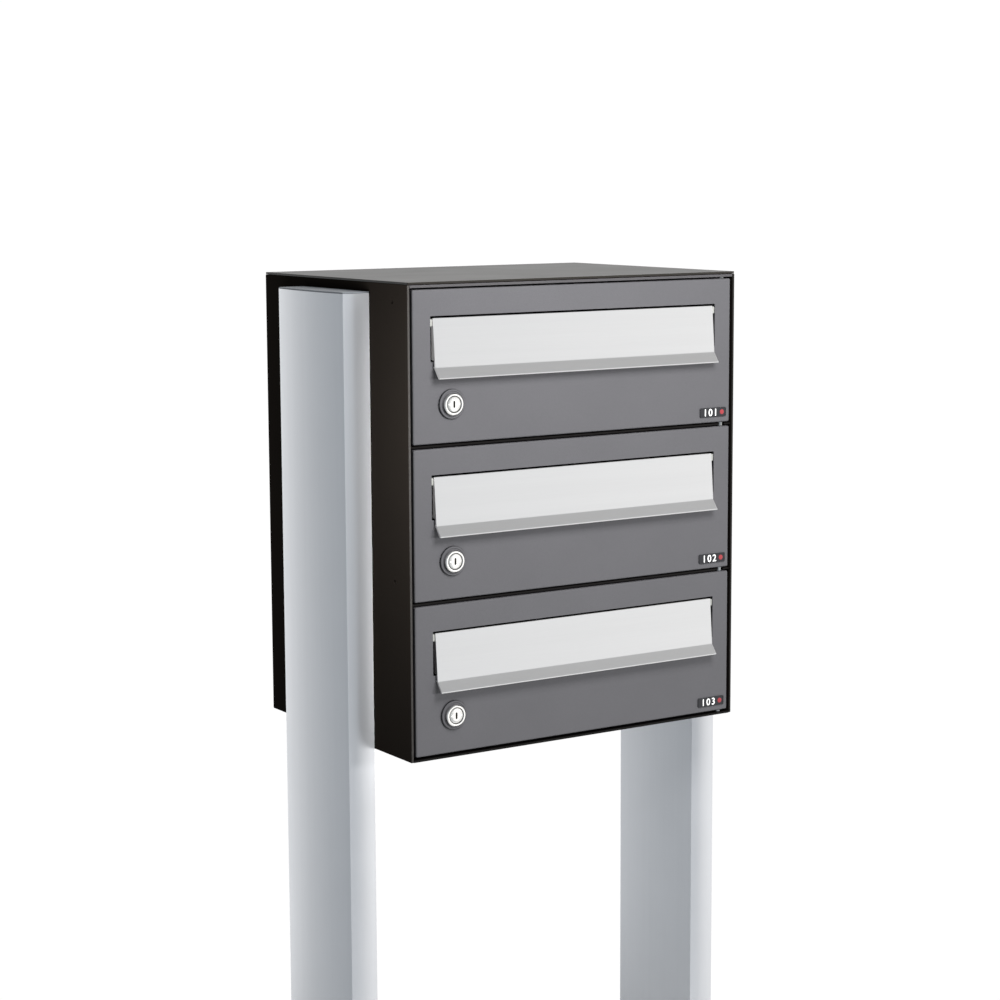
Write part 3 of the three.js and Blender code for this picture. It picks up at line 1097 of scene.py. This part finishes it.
    def _strike(self, tier: Tier) -> None:
        """Folds the angle that a lock's cam turns behind, and rivets it to the side panel."""
        node = f"strike_{tier.word}"
        box = Extent.of(node)
        sheet, outer = self.strike_sheet, self.strike_bend
        inner, rivet = outer - sheet, self.strike_rivet
        section = [
            (box.high.x, box.low.y),
            (box.high.x, box.low.y + sheet),
            (box.low.x + outer, box.low.y + sheet),
            *arc((box.low.x + outer, box.low.y + outer), inner, 270, 180, 4),
            (box.low.x + sheet, box.high.y),
            (box.low.x, box.high.y),
            *arc((box.low.x + outer, box.low.y + outer), outer, 180, 270, 6),
        ]
        angle = cut_plate(section, [], box.zs, Facing.TOP).ease(0.3, 2)
        for share in (0.25, 0.75):
            height = box.low.z + share * (box.high.z - box.low.z)
            dome = [(0, 1.0), (1.2, 0.85), (2.0, 0.45), (rivet, 0.05), (rivet, -0.5), (0, -0.5)]
            at = (box.low.x + sheet, (box.low.y + box.high.y) / 2 + 2.0, height)
            angle.add(turned(dome, Facing.SIDE, at, steps=24))
        self.fit(f"{tier.word}_strike_angle", angle, self.palette.steel, "casing", "steel", node)


@dataclass
class Post(Assembly):
    """A ground post with its cap, foot and bolts."""

    side: Side = Side.LEFT
    thick: float = 29.0
    crown: float = 3.5
    seat: float = 1.5
    half_depth: float = 65.0
    end_crown: float = 2.0
    corner: float = 1.0
    wall: float = 3.0
    min_corner: float = 0.8
    face_steps: int = 28
    lid: float = 1.0
    plug_gap: float = 0.6
    foot_plate: float = 8.0
    foot_corner: float = 8.0
    foot_hole: float = 5.5
    foot_spread: Point = (32.0, 92.0)
    spigot_wall: float = 5.0
    weld: float = 0.4
    bolt_head: float = 4.0
    bolt_shank: float = 4.0
    bolt_chamfer: float = 0.8

    def build(self) -> None:
        """Makes the post and what is fixed to it."""
        box = Extent.of(f"post_{self.side.word}")
        self.inner = min(box.low.x, box.high.x, key=abs)
        self.depth = box.middle.y
        self._tube(box)
        self._cap()
        self._foot()
        for place in ("lower", "upper"):
            self._bolt(place)

    def _outline(self, margin: float) -> list[Point]:
        """Draws the post's section, with all four faces crowned.

        Args:
            margin: how far it is set in.

        Returns:
            The outline in X and Y of the frame.
        """
        back, front, half = self.seat + margin, self.seat + self.thick - margin, self.half_depth - margin
        corner = max(self.corner - margin, self.min_corner)
        middle, end = (back + front) / 2, half + 2 * self.end_crown
        steps = self.face_steps
        points = [
            *bow((back + corner, -half), (middle, -end), (front - corner, -half), steps // 2),
            *bow((front - corner, -half), (front, -half), (front, corner - half), 4),
            *bow((front, corner - half), (front + 2 * self.crown, 0), (front, half - corner), steps),
            *bow((front, half - corner), (front, half), (front - corner, half), 4),
            *bow((front - corner, half), (middle, end), (back + corner, half), steps // 2),
            *bow((back + corner, half), (back, half), (back, half - corner), 4),
            *bow((back, half - corner), (back - 2 * self.seat, 0), (back, corner - half), steps // 2),
            *bow((back, corner - half), (back, -half), (back + corner, -half), 4),
        ]
        away = self.side.value
        return [(self.inner + away * x, self.depth + y) for x, y in points]

    def _tube(self, box: Extent) -> None:
        """Extrudes the post."""
        tube = cut_plate(self._outline(0), [self._outline(self.wall)], box.zs, Facing.TOP)
        tube.ease(0.3, 2, lambda at: min(at.z - box.low.z, box.high.z - at.z) < 1)
        name = f"post_{self.side.word}"
        self.fit(f"{self.side.word}_post_tube", tube, self.palette.post, "casing", "post", name)

    def _cap(self) -> None:
        """Moulds the cap: a crowned lid on a plug that sits in the post."""
        node = f"post_{self.side.word}_cap"
        box = Extent.of(node)
        seat = box.high.z - self.lid
        lid = cut_plate(self._outline(0), [], (seat, box.high.z), Facing.TOP).ease(0.3, 3)
        plug = cut_plate(self._outline(self.wall + self.plug_gap), [], (box.low.z, seat + 0.5), Facing.TOP)
        lid.add(plug.ease(0.5, 2))
        self.fit(f"{self.side.word}_post_lid", lid, self.palette.cap, "casing", "post_cap", node)

    def _foot(self) -> None:
        """Makes the base plate with a welded spigot."""
        node = f"post_{self.side.word}_foot"
        box = Extent.of(node)
        top = box.low.z + self.foot_plate
        middle, spread = box.middle, self.foot_spread
        spots = [(middle.x + a * spread[0], middle.y + b * spread[1]) for a in (-1, 1) for b in (-1, 1)]
        holes = [circle(spot, self.foot_hole, 32) for spot in spots]
        outline = rounded_box(box.xs, box.ys, self.foot_corner, 8)
        plate = cut_plate(outline, holes, (box.low.z, top), Facing.TOP).ease(0.8, 3)
        margin = self.wall + self.plug_gap
        bore = self._outline(margin + self.spigot_wall)
        spigot = cut_plate(self._outline(margin), [bore], (top - self.weld, box.high.z), Facing.TOP)
        plate.add(spigot.ease(0.5, 2))
        self.fit(f"{self.side.word}_post_base", plate, self.palette.foot, "casing", "foot", node)

    def _bolt(self, place: str) -> None:
        """Turns a mushroom-headed bolt that comes from inside the casing."""
        node = f"post_{self.side.word}_bolt_{place}"
        box = Extent.of(node)
        radius, height = (box.high.y - box.low.y) / 2, self.bolt_head
        length, shank = box.high.x - box.low.x, self.bolt_shank
        angles = [math.radians(a) for a in range(15, 76, 15)]
        profile = [
            (0, 0),
            *[(radius * math.sin(a), height - height * math.cos(a)) for a in angles],
            (radius, height - 0.6),
            (radius, height),
            (shank, height),
            (shank, length - self.bolt_chamfer),
            (shank - self.bolt_chamfer, length),
            (0, length),
        ]
        inward = box.low.x if self.side is Side.RIGHT else box.high.x
        bolt = turned(profile, Facing.SIDE, (0, 0, 0), steps=40)
        if self.side is Side.LEFT:
            half_turn = Matrix.Rotation(math.pi, 3, "Z")
            bmesh.ops.rotate(bolt.bm, cent=(0, 0, 0), matrix=half_turn, verts=bolt.bm.verts)
        bolt.shift(inward, box.middle.y, box.middle.z)
        self.fit(f"{self.side.word}_post_bolt_{place}", bolt, self.palette.steel, "casing", "steel", node)


@dataclass
class Door(Assembly):
    """A compartment door: folded tray, slot liner, flap rod with its clips, and number plate."""

    tier: Tier = Tier.TOP
    sheet: float = 1.4
    bend: float = 1.6
    slot_half: float = 168.0
    slot_top: float = 25.0
    slot_bottom: float = 68.0
    slot_corner: float = 0.8
    lock_hole: float = 9.7
    pin_hole: float = 2.4
    liner_half: float = 168.3
    liner_top: float = 23.5
    liner_bottom: float = 70.0
    liner_corners: Point = (2.0, 1.0)
    rod_chamfer: float = 0.4
    clip_ends: Point = (165.4, 167.9)
    clip_front: float = 4.4
    clip_back: float = 3.4
    clip_half: float = 3.6
    clip_corner: float = 1.2
    plate_corner: float = 1.5
    plate_rim: float = 0.8
    rim_corner: float = 0.9
    plate_recess: float = 0.25
    rim_root: float = 0.4
    dot_radius: float = 2.5
    dot_inset: float = 5.2
    numeral_size: float = 10.0
    numeral_spacing: float = 1.3
    numeral_weight: float = 0.12
    numeral_half: float = 0.1
    numeral_shift: float = 3.4

    def build(self) -> None:
        """Makes everything that swings with the door, apart from its flap and lock."""
        self.node = f"door_{self.tier.word}"
        self.box = Extent.of(f"{self.node}_panel")
        self._tray()
        self._liner()
        self._rod()
        self._number_plate()

    def _fit(
        self, name: str, piece: Workpiece, finish: bpy.types.Material, slot: str, *nodes: str
    ) -> None:
        """Fits a piece to this door's body."""
        self.fit(f"{self.tier.word}_{name}", piece, finish, self.node, slot, *nodes)

    def _tray(self) -> None:
        """Folds the door and cuts its slot, lock hole and pin holes."""
        top = self.box.high.z
        lock = pivot(f"lock_{self.tier.word}_turn")
        hinge = Extent.of("pivot_pin_bottom").middle
        xs, zs = (-self.slot_half, self.slot_half), (top - self.slot_bottom, top - self.slot_top)
        holes = [rounded_box(xs, zs, self.slot_corner, 3), circle((lock.x, lock.z), self.lock_hole)]
        rim_hole = circle((hinge.x, hinge.y), self.pin_hole, 24)
        tray = fold_tray(self.box, holes, rim_hole, self.bend, self.sheet)
        self._fit("door_tray", tray, self.palette.door, "door", f"{self.node}_panel")

    def _liner(self) -> None:
        """Moulds the liner round the slot, open through its middle."""
        box = Extent.of(f"{self.node}_slot_frame")
        top = self.box.high.z
        outer, inner = self.liner_corners
        xs, zs = (-self.liner_half, self.liner_half), (top - self.liner_bottom, top - self.liner_top)
        outline, opening = rounded_box(box.xs, box.zs, outer), rounded_box(xs, zs, inner)
        liner = cut_plate(outline, [opening], box.ys, Facing.FRONT).ease(0.6, 2)
        self._fit("slot_liner", liner, self.palette.liner, "liner", f"{self.node}_slot_frame")

    def _rod(self) -> None:
        """Turns the flap's rod, and moulds the clips that hold its ends."""
        box = Extent.of(f"{self.node}_flap_rod")
        axis = pivot(f"flap_{self.tier.word}_hinge")
        radius, chamfer = (box.high.z - box.low.z) / 2, self.rod_chamfer
        start, end = box.xs
        profile = [
            (0, start),
            (radius - chamfer, start),
            (radius, start + chamfer),
            (radius, end - chamfer),
            (radius - chamfer, end),
            (0, end),
        ]
        rod = turned(profile, Facing.SIDE, (0, axis.y, axis.z), steps=32)
        self._fit("flap_rod", rod, self.palette.steel, "steel", f"{self.node}_flap_rod")
        ys = (axis.y - self.clip_front, axis.y + self.clip_back)
        zs = (axis.z - self.clip_half, axis.z + self.clip_half)
        outline = rounded_box(ys, zs, self.clip_corner)
        bore = circle((axis.y, axis.z), radius + 0.1, 24)
        near, far = self.clip_ends
        for side, span in ((Side.LEFT, (-far, -near)), (Side.RIGHT, (near, far))):
            clip = cut_plate(outline, [bore], span, Facing.SIDE)
            self._fit(f"{side.word}_rod_clip", clip.ease(0.3, 2), self.palette.clip, "steel")

    def _number_plate(self) -> None:
        """Makes the number plate: a dark tablet with a raised rim, the number and a red dot."""
        node = f"{self.node}_number_plate"
        box = Extent.of(node)
        (left, right), (front, back), (bottom, top) = box.xs, box.ys, box.zs
        face, rim = front + self.plate_recess, self.plate_rim
        outline = rounded_box(box.xs, box.zs, self.plate_corner)
        inner = rounded_box((left + rim, right - rim), (bottom + rim, top - rim), self.rim_corner)
        tablet = cut_plate(outline, [], (face, back), Facing.FRONT).ease(0.15, 2)
        frame_rim = cut_plate(outline, [inner], (front, front + self.rim_root), Facing.FRONT)
        tablet.add(frame_rim.ease(0.12, 2))
        self._fit("number_tablet", tablet, self.palette.plate, "number_plate", node)
        self._fit("number", self._numeral(box), self.palette.mark, "number_plate")
        radius = self.dot_radius
        dome = [(0, 0.22), (1.6, 0.18), (radius, 0.02), (radius, -0.15), (0, -0.15)]
        dot = turned(dome, Facing.FRONT, (right - self.dot_inset, face, box.middle.z), steps=32)
        self._fit("number_dot", dot, self.palette.dot, "number_plate")

    def _numeral(self, box: Extent) -> Workpiece:
        """Cuts the compartment's number from thin sheet.

        Args:
            box: the plate's box.

        Returns:
            The numeral, standing on the tablet.
        """
        text = bpy.data.curves.new("numeral", "FONT")
        text.body = str(100 + self.tier.value)
        text.size = self.numeral_size
        text.space_character = self.numeral_spacing
        text.offset = self.numeral_weight
        text.extrude = self.numeral_half
        text.align_x = "CENTER"
        text.align_y = "CENTER"
        holder = bpy.data.objects.new("numeral", text)
        mesh = bpy.data.meshes.new_from_object(holder)
        numeral = Workpiece()
        numeral.bm.from_mesh(mesh)
        bpy.data.objects.remove(holder)
        bpy.data.curves.remove(text)
        bpy.data.meshes.remove(mesh)
        numeral.tidy()
        heights = [v.co.y for v in numeral.bm.verts]
        middle = (max(heights) + min(heights)) / 2
        depth = box.low.y + self.plate_recess - self.numeral_half
        at = (box.middle.x - self.numeral_shift, depth, box.middle.z)
        return numeral.shift(y=-middle).turn_to(Facing.FRONT, at)


@dataclass
class LetterFlap(Assembly):
    """The aluminium flap over a letter slot: bent sheet with knuckle, rib, grip lip and end plates."""

    tier: Tier = Tier.TOP
    sheet: float = 1.8
    knuckle: float = 4.0
    bore: float = 2.35
    top: Point = (-5.2, 4.6)
    bend: Point = (-8.9, -42.0)
    lip: Point = (-16.5, -51.6)
    bend_radius: float = 2.6
    inner_radius: float = 1.4
    rib: float = 1.2
    rib_tip: float = -5.9
    cheek: float = 1.5
    cheek_back: float = -2.1
    cheek_bottom: float = -35.3
    cheek_top: float = -3.2
    neck: float = 6.4
    side_edge: float = 0.45

    def build(self) -> None:
        """Makes the flap."""
        node = f"flap_{self.tier.word}"
        box = Extent.of(node)
        axis = pivot(f"{node}_hinge")
        section = [(axis.y + y, axis.z + z) for y, z in self._section()]
        bore = circle((axis.y, axis.z), self.bore, 32)
        flap = cut_plate(section, [bore], box.xs, Facing.SIDE)
        flap.ease(self.side_edge, 3, lambda at: min(at.x - box.low.x, box.high.x - at.x) < 1)
        plate = [(axis.y + y, axis.z + z) for y, z in self._cheek_section()]
        for start in (box.low.x, box.high.x - self.cheek):
            flap.add(cut_plate(plate, [], (start, start + self.cheek), Facing.SIDE).ease(0.3, 2))
        self.fit(f"{self.tier.word}_letter_flap", flap, self.palette.flap, node, "flap", node)

    def _cheek_section(self) -> list[Point]:
        """Draws an end plate between the sheet and a straight edge inside the slot, in Y and Z."""
        slope = (self.bend[0] - self.top[0]) / (self.bend[1] - self.top[1])
        inside = self.top[0] + self.sheet * 0.6
        upper = self.bore + 0.6
        return [
            (inside + (self.cheek_top - self.top[1]) * slope, self.cheek_top),
            (inside + (self.cheek_bottom - self.top[1]) * slope, self.cheek_bottom),
            (self.cheek_back - 1.0, self.cheek_bottom),
            (self.cheek_back, self.cheek_bottom + 1.0),
            (self.cheek_back, -upper),
        ]

    def _section(self) -> list[Point]:
        """Draws the flap's section round its hinge axis, in Y and Z."""
        top, bend, lip = (Vector(p) for p in (self.top, self.bend, self.lip))
        face, kick = (bend - top).normalized(), (lip - bend).normalized()
        inner_face, inner_kick = (Vector((-d.y, d.x)) for d in (face, kick))
        mitre = (inner_face + inner_kick) * (self.sheet / (1 + inner_face.dot(inner_kick)))
        outer_bend = self._corner(bend, face, kick, self.bend_radius)
        inner_bend = self._corner(bend + mitre, face, kick, self.inner_radius)[::-1]
        half = self.sheet / 2
        start = math.degrees(math.atan2(-inner_kick.y, -inner_kick.x))
        rounded_tip = arc(tuple(lip + inner_kick * half - kick * half), half, start, start + 180, 8)
        foot = bend + mitre - face * 0.5
        reach = inner_face * ((self.rib_tip - foot.x) / inner_face.x)
        height = face * self.rib
        rib = (foot, foot + reach, foot + reach - height, foot - height)
        neck = top + inner_face * self.sheet + face * self.neck
        return [
            (top.x + 0.6, top.y),
            (top.x, top.y - 0.6),
            *outer_bend,
            *rounded_tip,
            *inner_bend,
            *(tuple(point) for point in rib),
            tuple(neck),
            *arc((0, 0), self.knuckle, 228, 492, 30),
        ]

    @staticmethod
    def _corner(at: Vector, before: Vector, after: Vector, radius: float) -> list[Point]:
        """Rounds one bend of the sheet.

        Args:
            at: the sharp corner.
            before: the direction into it.
            after: the direction out of it.
            radius: how round the bend is.

        Returns:
            Points along the rounded bend.
        """
        reach = radius * math.tan(before.angle(after) / 2)
        start, end = tuple(at - before * reach), tuple(at + after * reach)
        return [*bow(start, tuple(at), end, 6), end]


@dataclass
class CamLock(Assembly):
    """A cam lock: collar, black ring of painted shadow under it, body and nut on the door; plug, shutter,
    cam and screw that turn.
    """

    tier: Tier = Tier.TOP
    ring_edge: float = 0.18
    bore: float = 9.8
    collar: float = 14.0
    seal: float = 14.4
    head: float = 10.5
    head_face: float = 5.7
    barrel: float = 9.3
    barrel_end: float = -20.0
    plug_bore: float = 7.9
    nut_bore: float = 9.7
    key_width: float = 0.95
    key_height: float = 3.3
    key_depth: float = 8.0
    key_reach: float = 3.5
    square: float = 4.0
    square_corner: float = 0.6
    square_start: float = 20.0
    plug_end: float = 20.3
    face_bevel: float = 1.15
    key_bevel: float = 0.22
    slit: Point = (0.9, 3.2)
    slit_depths: Point = (1.0, 1.6)
    cam_hub: float = 9.0
    cam_half: float = 6.5
    cam_hole: float = 4.3
    screw_head: float = 5.5
    screw_shank: float = 1.9

    def build(self) -> None:
        """Makes the lock."""
        self.at = pivot(f"lock_{self.tier.word}_turn")
        self.door = f"door_{self.tier.word}"
        self.turning = f"lock_{self.tier.word}"
        centre = tuple(self.at * MM)
        name = f"{self.tier.word}_lock_nickel"
        self.nickel = TurnedNickel(name, (0.96, 0.945, 0.91), 0.2, centre).material()
        self._collar()
        self._body()
        self._nut()
        self._plug()
        self._cam()
        self._screw()

    def _ring(
        self, name: str, profile: list[Point], finish: bpy.types.Material, slot: str, *nodes: str
    ) -> None:
        """Turns and fits a ring of the lock, whose profile is radius and height in front of the door."""
        ring = turned(profile, Facing.FRONT, self.at, closed=True, steps=72).ease(self.ring_edge, 2)
        self.fit(f"{self.tier.word}_{name}", ring, finish, self.door, slot, *nodes)

    def _collar(self) -> None:
        """The stepped collar, painted like the door, on a black ring that stands in for the shadow round
        the collar's side.
        """
        bore, collar = self.bore, self.collar
        step = [(collar, 1.9), (collar - 0.4, 2.3), (collar - 1.6, 2.3), (collar - 2.0, 1.8)]
        profile = [(bore, 1.5), (collar, 1.5), *step, (bore, 1.8)]
        self._ring("lock_collar", profile, self.palette.door, "door", f"{self.door}_lock_collar")
        # Painted shadow: a black ring a little wider than the collar, in place of the dark shade at its
        # side.
        seal = [(bore, 0.3), (self.seal, 0.3), (self.seal, 1.6), (bore, 1.6)]
        self._ring("lock_seal", seal, self.palette.liner, "liner")

    def _body(self) -> None:
        """The nickel body: head, barrel and the bore for the plug."""
        bore, face, end = self.plug_bore, self.head_face, self.barrel_end
        profile = [
            (bore, face - 0.5),
            (bore + 0.4, face),
            (self.head - 0.8, face),
            (self.head, face - 0.8),
            (self.head, 2.6),
            (self.barrel, 2.6),
            (self.barrel, end + 0.5),
            (self.barrel - 0.4, end),
            (bore, end),
        ]
        self._ring("lock_body", profile, self.nickel, "nickel", f"{self.door}_lock_body")

    def _nut(self) -> None:
        """The hexagon nut behind the door."""
        node = f"{self.door}_lock_nut"
        box = Extent.of(node)
        hexagon = circle((self.at.x, self.at.z), (box.high.x - box.low.x) / 2, 6)
        bore = circle((self.at.x, self.at.z), self.nut_bore)
        nut = cut_plate(hexagon, [bore], box.ys, Facing.FRONT).ease(0.5, 2)
        self.fit(f"{self.tier.word}_lock_nut", nut, self.palette.steel, self.door, "steel", node)

    def _round_axis(self, across: float, up: float) -> tuple[Point, Point]:
        """Gives the spans that reach as far to either side of the lock's axis, in X and in Z."""
        return (self.at.x - across, self.at.x + across), (self.at.z - up, self.at.z + up)

    def _on_face(self, face: float, inner: float, outer: float) -> Callable[[Vector], bool]:
        """Makes a test for edges on the plug's face between two radii."""
        radius = self._radius
        return lambda at: at.y < face + 0.1 and inner < radius(at) < outer

    def _radius(self, at: Vector) -> float:
        """How far a point lies from the lock's axis."""
        return math.hypot(at.x - self.at.x, at.z - self.at.z)

    def _plug(self) -> None:
        """The plug with its keyway and dust shutter, and the square that drives the cam."""
        box = Extent.of(f"{self.turning}_plug")
        radius, face = (box.high.x - box.low.x) / 2, box.low.y
        width, rise = self.key_width, self.key_height - self.key_width
        keyway = [*arc((0, rise), width, 0, 180, 8), *arc((0, -rise), width, 180, 360, 8)]
        keyway = [(self.at.x + x, self.at.z + z) for x, z in keyway]
        rim = circle((self.at.x, self.at.z), radius, 64)
        floor = face + self.key_depth
        plug = cut_plate(rim, [keyway], (face, floor), Facing.FRONT)
        plug.ease(self.face_bevel, 2, self._on_face(face, radius - 0.5, math.inf))
        plug.ease(self.key_bevel, 2, self._on_face(face, 0, self.key_reach))
        plug.add(cut_plate(rim, [], (floor - 0.5, self.at.y + self.plug_end), Facing.FRONT).ease(0.2, 2))
        shank = rounded_box(*self._round_axis(self.square, self.square), self.square_corner, 3)
        depths = (self.at.y + self.square_start, box.high.y)
        plug.add(cut_plate(shank, [], depths, Facing.FRONT).ease(0.3, 2))
        name = f"{self.tier.word}_lock"
        self.fit(f"{name}_plug", plug, self.nickel, self.turning, "nickel", f"{self.turning}_plug")
        slit = rounded_box(*self._round_axis(*self.slit), self.square_corner, 3)
        depths = tuple(face + depth for depth in self.slit_depths)
        shutter = cut_plate(slit, [], depths, Facing.FRONT)
        self.fit(f"{name}_shutter", shutter, self.palette.shutter, self.turning, "steel")

    def _cam(self) -> None:
        """The flat cam with its square hole."""
        node = f"{self.turning}_cam"
        box = Extent.of(node)
        hub, half, hole = self.cam_hub, self.cam_half, self.cam_hole
        reach = self.at.z - box.low.z
        shoulder = math.degrees(math.asin(math.sqrt(1 - (half / hub) ** 2)))
        outline = [
            *arc((0, 0), hub, -shoulder, 180 + shoulder, 30),
            *arc((0, half - reach), half, 180, 360, 14),
        ]
        outline = [(self.at.x + x, self.at.z + z) for x, z in outline]
        square = rounded_box(*self._round_axis(hole, hole), 0.5, 2)
        cam = cut_plate(outline, [square], box.ys, Facing.FRONT).ease(0.3, 2)
        self.fit(f"{self.tier.word}_lock_cam", cam, self.palette.steel, self.turning, "steel", node)

    def _screw(self) -> None:
        """The pan head screw that holds the cam on."""
        node = f"{self.turning}_cam_screw"
        box = Extent.of(node)
        rear, tip = self.at.y - box.high.y, self.at.y - box.low.y
        head, shank = self.screw_head, self.screw_shank
        profile = [
            (0, rear),
            (head - 1.9, rear),
            (head - 0.6, rear + 0.5),
            (head, rear + 1.3),
            (head, rear + 2.2),
            (shank, rear + 2.2),
            (shank, tip - 0.4),
            (shank - 0.4, tip),
            (0, tip),
        ]
        screw = turned(profile, Facing.FRONT, self.at, steps=36)
        self.fit(f"{self.tier.word}_cam_screw", screw, self.palette.steel, self.turning, "steel", node)


# ---- Studio --------------------------------------------------------------------------------------


@dataclass(frozen=True)
class Softbox:
    """A rectangular soft light; only holds the endings of the names of the pieces that it lights."""

    name: str
    at: Triple
    size: Point
    watts: float
    on_paint: bool = True
    in_gloss: bool = True
    only: tuple[str, ...] = ()
    shadows: bool = True
    aim: Triple = (0.0, -0.1, 1.07)

    def hang(self) -> None:
        """Hangs the light."""
        data = bpy.data.lights.new(self.name, "AREA")
        data.shape = "RECTANGLE"
        data.size, data.size_y = self.size
        data.energy = self.watts
        data.use_shadow = self.shadows
        data.cycles.use_multiple_importance_sampling = self.shadows
        light = bpy.data.objects.new(self.name, data)
        bpy.context.scene.collection.objects.link(light)
        turn = (Vector(self.aim) - Vector(self.at)).to_track_quat("-Z", "Y").to_matrix().to_4x4()
        light.matrix_world = Matrix.Translation(self.at) @ turn
        light.visible_camera = False
        light.visible_diffuse = self.on_paint
        light.visible_glossy = self.in_gloss
        if self.only:
            lit = bpy.data.collections.new(f"{self.name}_lights")
            for piece in bpy.context.scene.objects:
                if piece.name.endswith(self.only):
                    lit.objects.link(piece)
            light.light_linking.receiver_collection = lit


@dataclass
class Studio:
    """Camera, floor, background and soft lights."""

    camera_at: Triple = (-1.31893, -2.04148, 1.40629)
    turn_right: float = 32.805
    look_down: float = 7.982
    roll: float = -0.267
    lens: float = 85.65
    floor_radius: float = 1.4
    bright_side: Triple = (0.866, 0.5, 0.0)
    front_side: Triple = (0.54, -0.84, 0.0)
    shade_tint: Colour = (0.44, 0.47, 0.5)
    brightness: float = 1.02
    floor_tone: float = 0.8

    def build(self) -> None:
        """Sets the studio up."""
        bpy.context.scene.view_settings.view_transform = "Standard"
        self._camera()
        self._floor()
        self._world()
        for softbox in self._softboxes():
            softbox.hang()

    def _camera(self) -> None:
        """Places the camera in front of the unit, to its left and a little above it."""
        data = bpy.data.cameras.new("studio_camera")
        data.lens = self.lens
        data.sensor_width = 36.0
        data.clip_end = 100.0
        camera = bpy.data.objects.new("studio_camera", data)
        bpy.context.scene.collection.objects.link(camera)
        turn = Matrix.Rotation(math.radians(-self.turn_right), 4, "Z")
        tilt = Matrix.Rotation(math.radians(90 - self.look_down), 4, "X")
        roll = Matrix.Rotation(math.radians(self.roll), 4, "Z")
        camera.matrix_world = Matrix.Translation(self.camera_at) @ turn @ tilt @ roll
        bpy.context.scene.camera = camera

    def _floor(self) -> None:
        """Lays a plain pale floor disc."""
        sheet = bmesh.new()
        bmesh.ops.create_circle(sheet, cap_ends=True, segments=128, radius=self.floor_radius)
        mesh = bpy.data.meshes.new("studio_floor")
        sheet.to_mesh(mesh)
        sheet.free()
        floor = bpy.data.objects.new("studio_floor", mesh)
        bpy.context.scene.collection.objects.link(floor)
        paint = Moulded("floor_paint", (self.floor_tone,) * 3, 0.8, grain=3.0, depth=0.05)
        mesh.materials.append(paint.material())

    def _world(self) -> None:
        """Surrounds the unit with soft light: white on its bright side, dimmer opposite and overhead."""
        world = bpy.data.worlds.new("studio_world")
        room = Recipe(world)
        way = Value(room, room.node("ShaderNodeTexCoord").outputs["Generated"])
        split = room.node("ShaderNodeSeparateXYZ", {}, {0: way})
        height = Value(room, split.outputs[2])
        across = room.ease(self._towards(room, way, self.bright_side), -0.36, 0.5, 0.0, 1.0)
        front = room.ease(self._towards(room, way, self.front_side), 0.86, 0.985, 0.0, 1.0)
        overhead = room.ease(height, 0.22, 0.68, 1.0, 0.5)
        low = room.ease(height, -0.45, 0.0, 0.4, 0.0)
        whiteness = room.ease(across + front * 0.3, 0.0, 1.0, 0.0, 1.0)
        tint = room.blend(whiteness, self.shade_tint, (1.0, 1.0, 1.0))
        room.dress(Color=tint, Strength=overhead * (self.brightness - front * low))
        bpy.context.scene.world = world

    @staticmethod
    def _towards(room: Recipe, way: Value, side: Triple) -> Value:
        """Measures how much a direction points to one side.

        Args:
            room: the world's tree.
            way: the direction.
            side: the side, as a vector of length 1.

        Returns:
            1 for straight at that side, 0 across it, -1 for straight away.
        """
        dot = room.node("ShaderNodeVectorMath", {"operation": "DOT_PRODUCT"}, {0: way, 1: side})
        return Value(room, dot.outputs["Value"])

    def _softboxes(self) -> list[Softbox]:
        """Lists the soft lights."""
        casing = ("roof_sheet", "header_bar")
        edges = ("_side_sheet", "_door_tray", "header_bar")
        locks = ("_lock_plug", "_lock_body")
        flaps = ("_letter_flap",)
        return [
            Softbox("key_softbox", (0.84, -2.55, 1.32), (0.28, 0.28), 50.0, in_gloss=False),
            Softbox("upper_softbox", (-0.05, -0.75, 1.6), (0.35, 0.35), 12.0, in_gloss=False),
            Softbox(
                "side_softbox",
                (-0.38, -0.3, 1.18),
                (0.2, 0.2),
                3.5,
                in_gloss=False,
                only=("left_side_sheet",),
            ),
            Softbox("roof_strip", (0.62, -0.5, 3.0), (2.6, 0.4), 47.0, on_paint=False, only=casing),
            Softbox("edge_strip", (-1.93, -1.16, 0.95), (0.5, 1.5), 9.0, on_paint=False, only=edges),
            Softbox("lock_strip", (1.03, -2.04, 0.68), (0.45, 1.1), 1.2, on_paint=False, only=locks),
            Softbox("post_strip", (-0.4, 2.1, 0.9), (0.9, 2.2), 3.8, on_paint=False, only=("_post_tube",)),
            Softbox(
                "post_fill",
                (-0.12, -0.092, 1.06),
                (0.02, 0.46),
                1.4,
                in_gloss=False,
                only=("left_post_tube",),
                shadows=False,
                aim=(-0.21, -0.07, 1.06),
            ),
            Softbox("cheek_strip", (-1.1, 1.6, 1.25), (0.6, 0.9), 0.7, only=flaps, shadows=False),
        ]


def main() -> None:
    """Builds the unit and its studio."""
    logging.basicConfig(level=logging.INFO, format="%(name)s: %(message)s")
    palette = Palette.mixed()
    Casing(palette).build()
    for side in Side:
        Post(palette, side).build()
    for tier in Tier:
        Door(palette, tier).build()
        LetterFlap(palette, tier).build()
        CamLock(palette, tier).build()
    Studio().build()


if __name__ == "__main__":
    main()
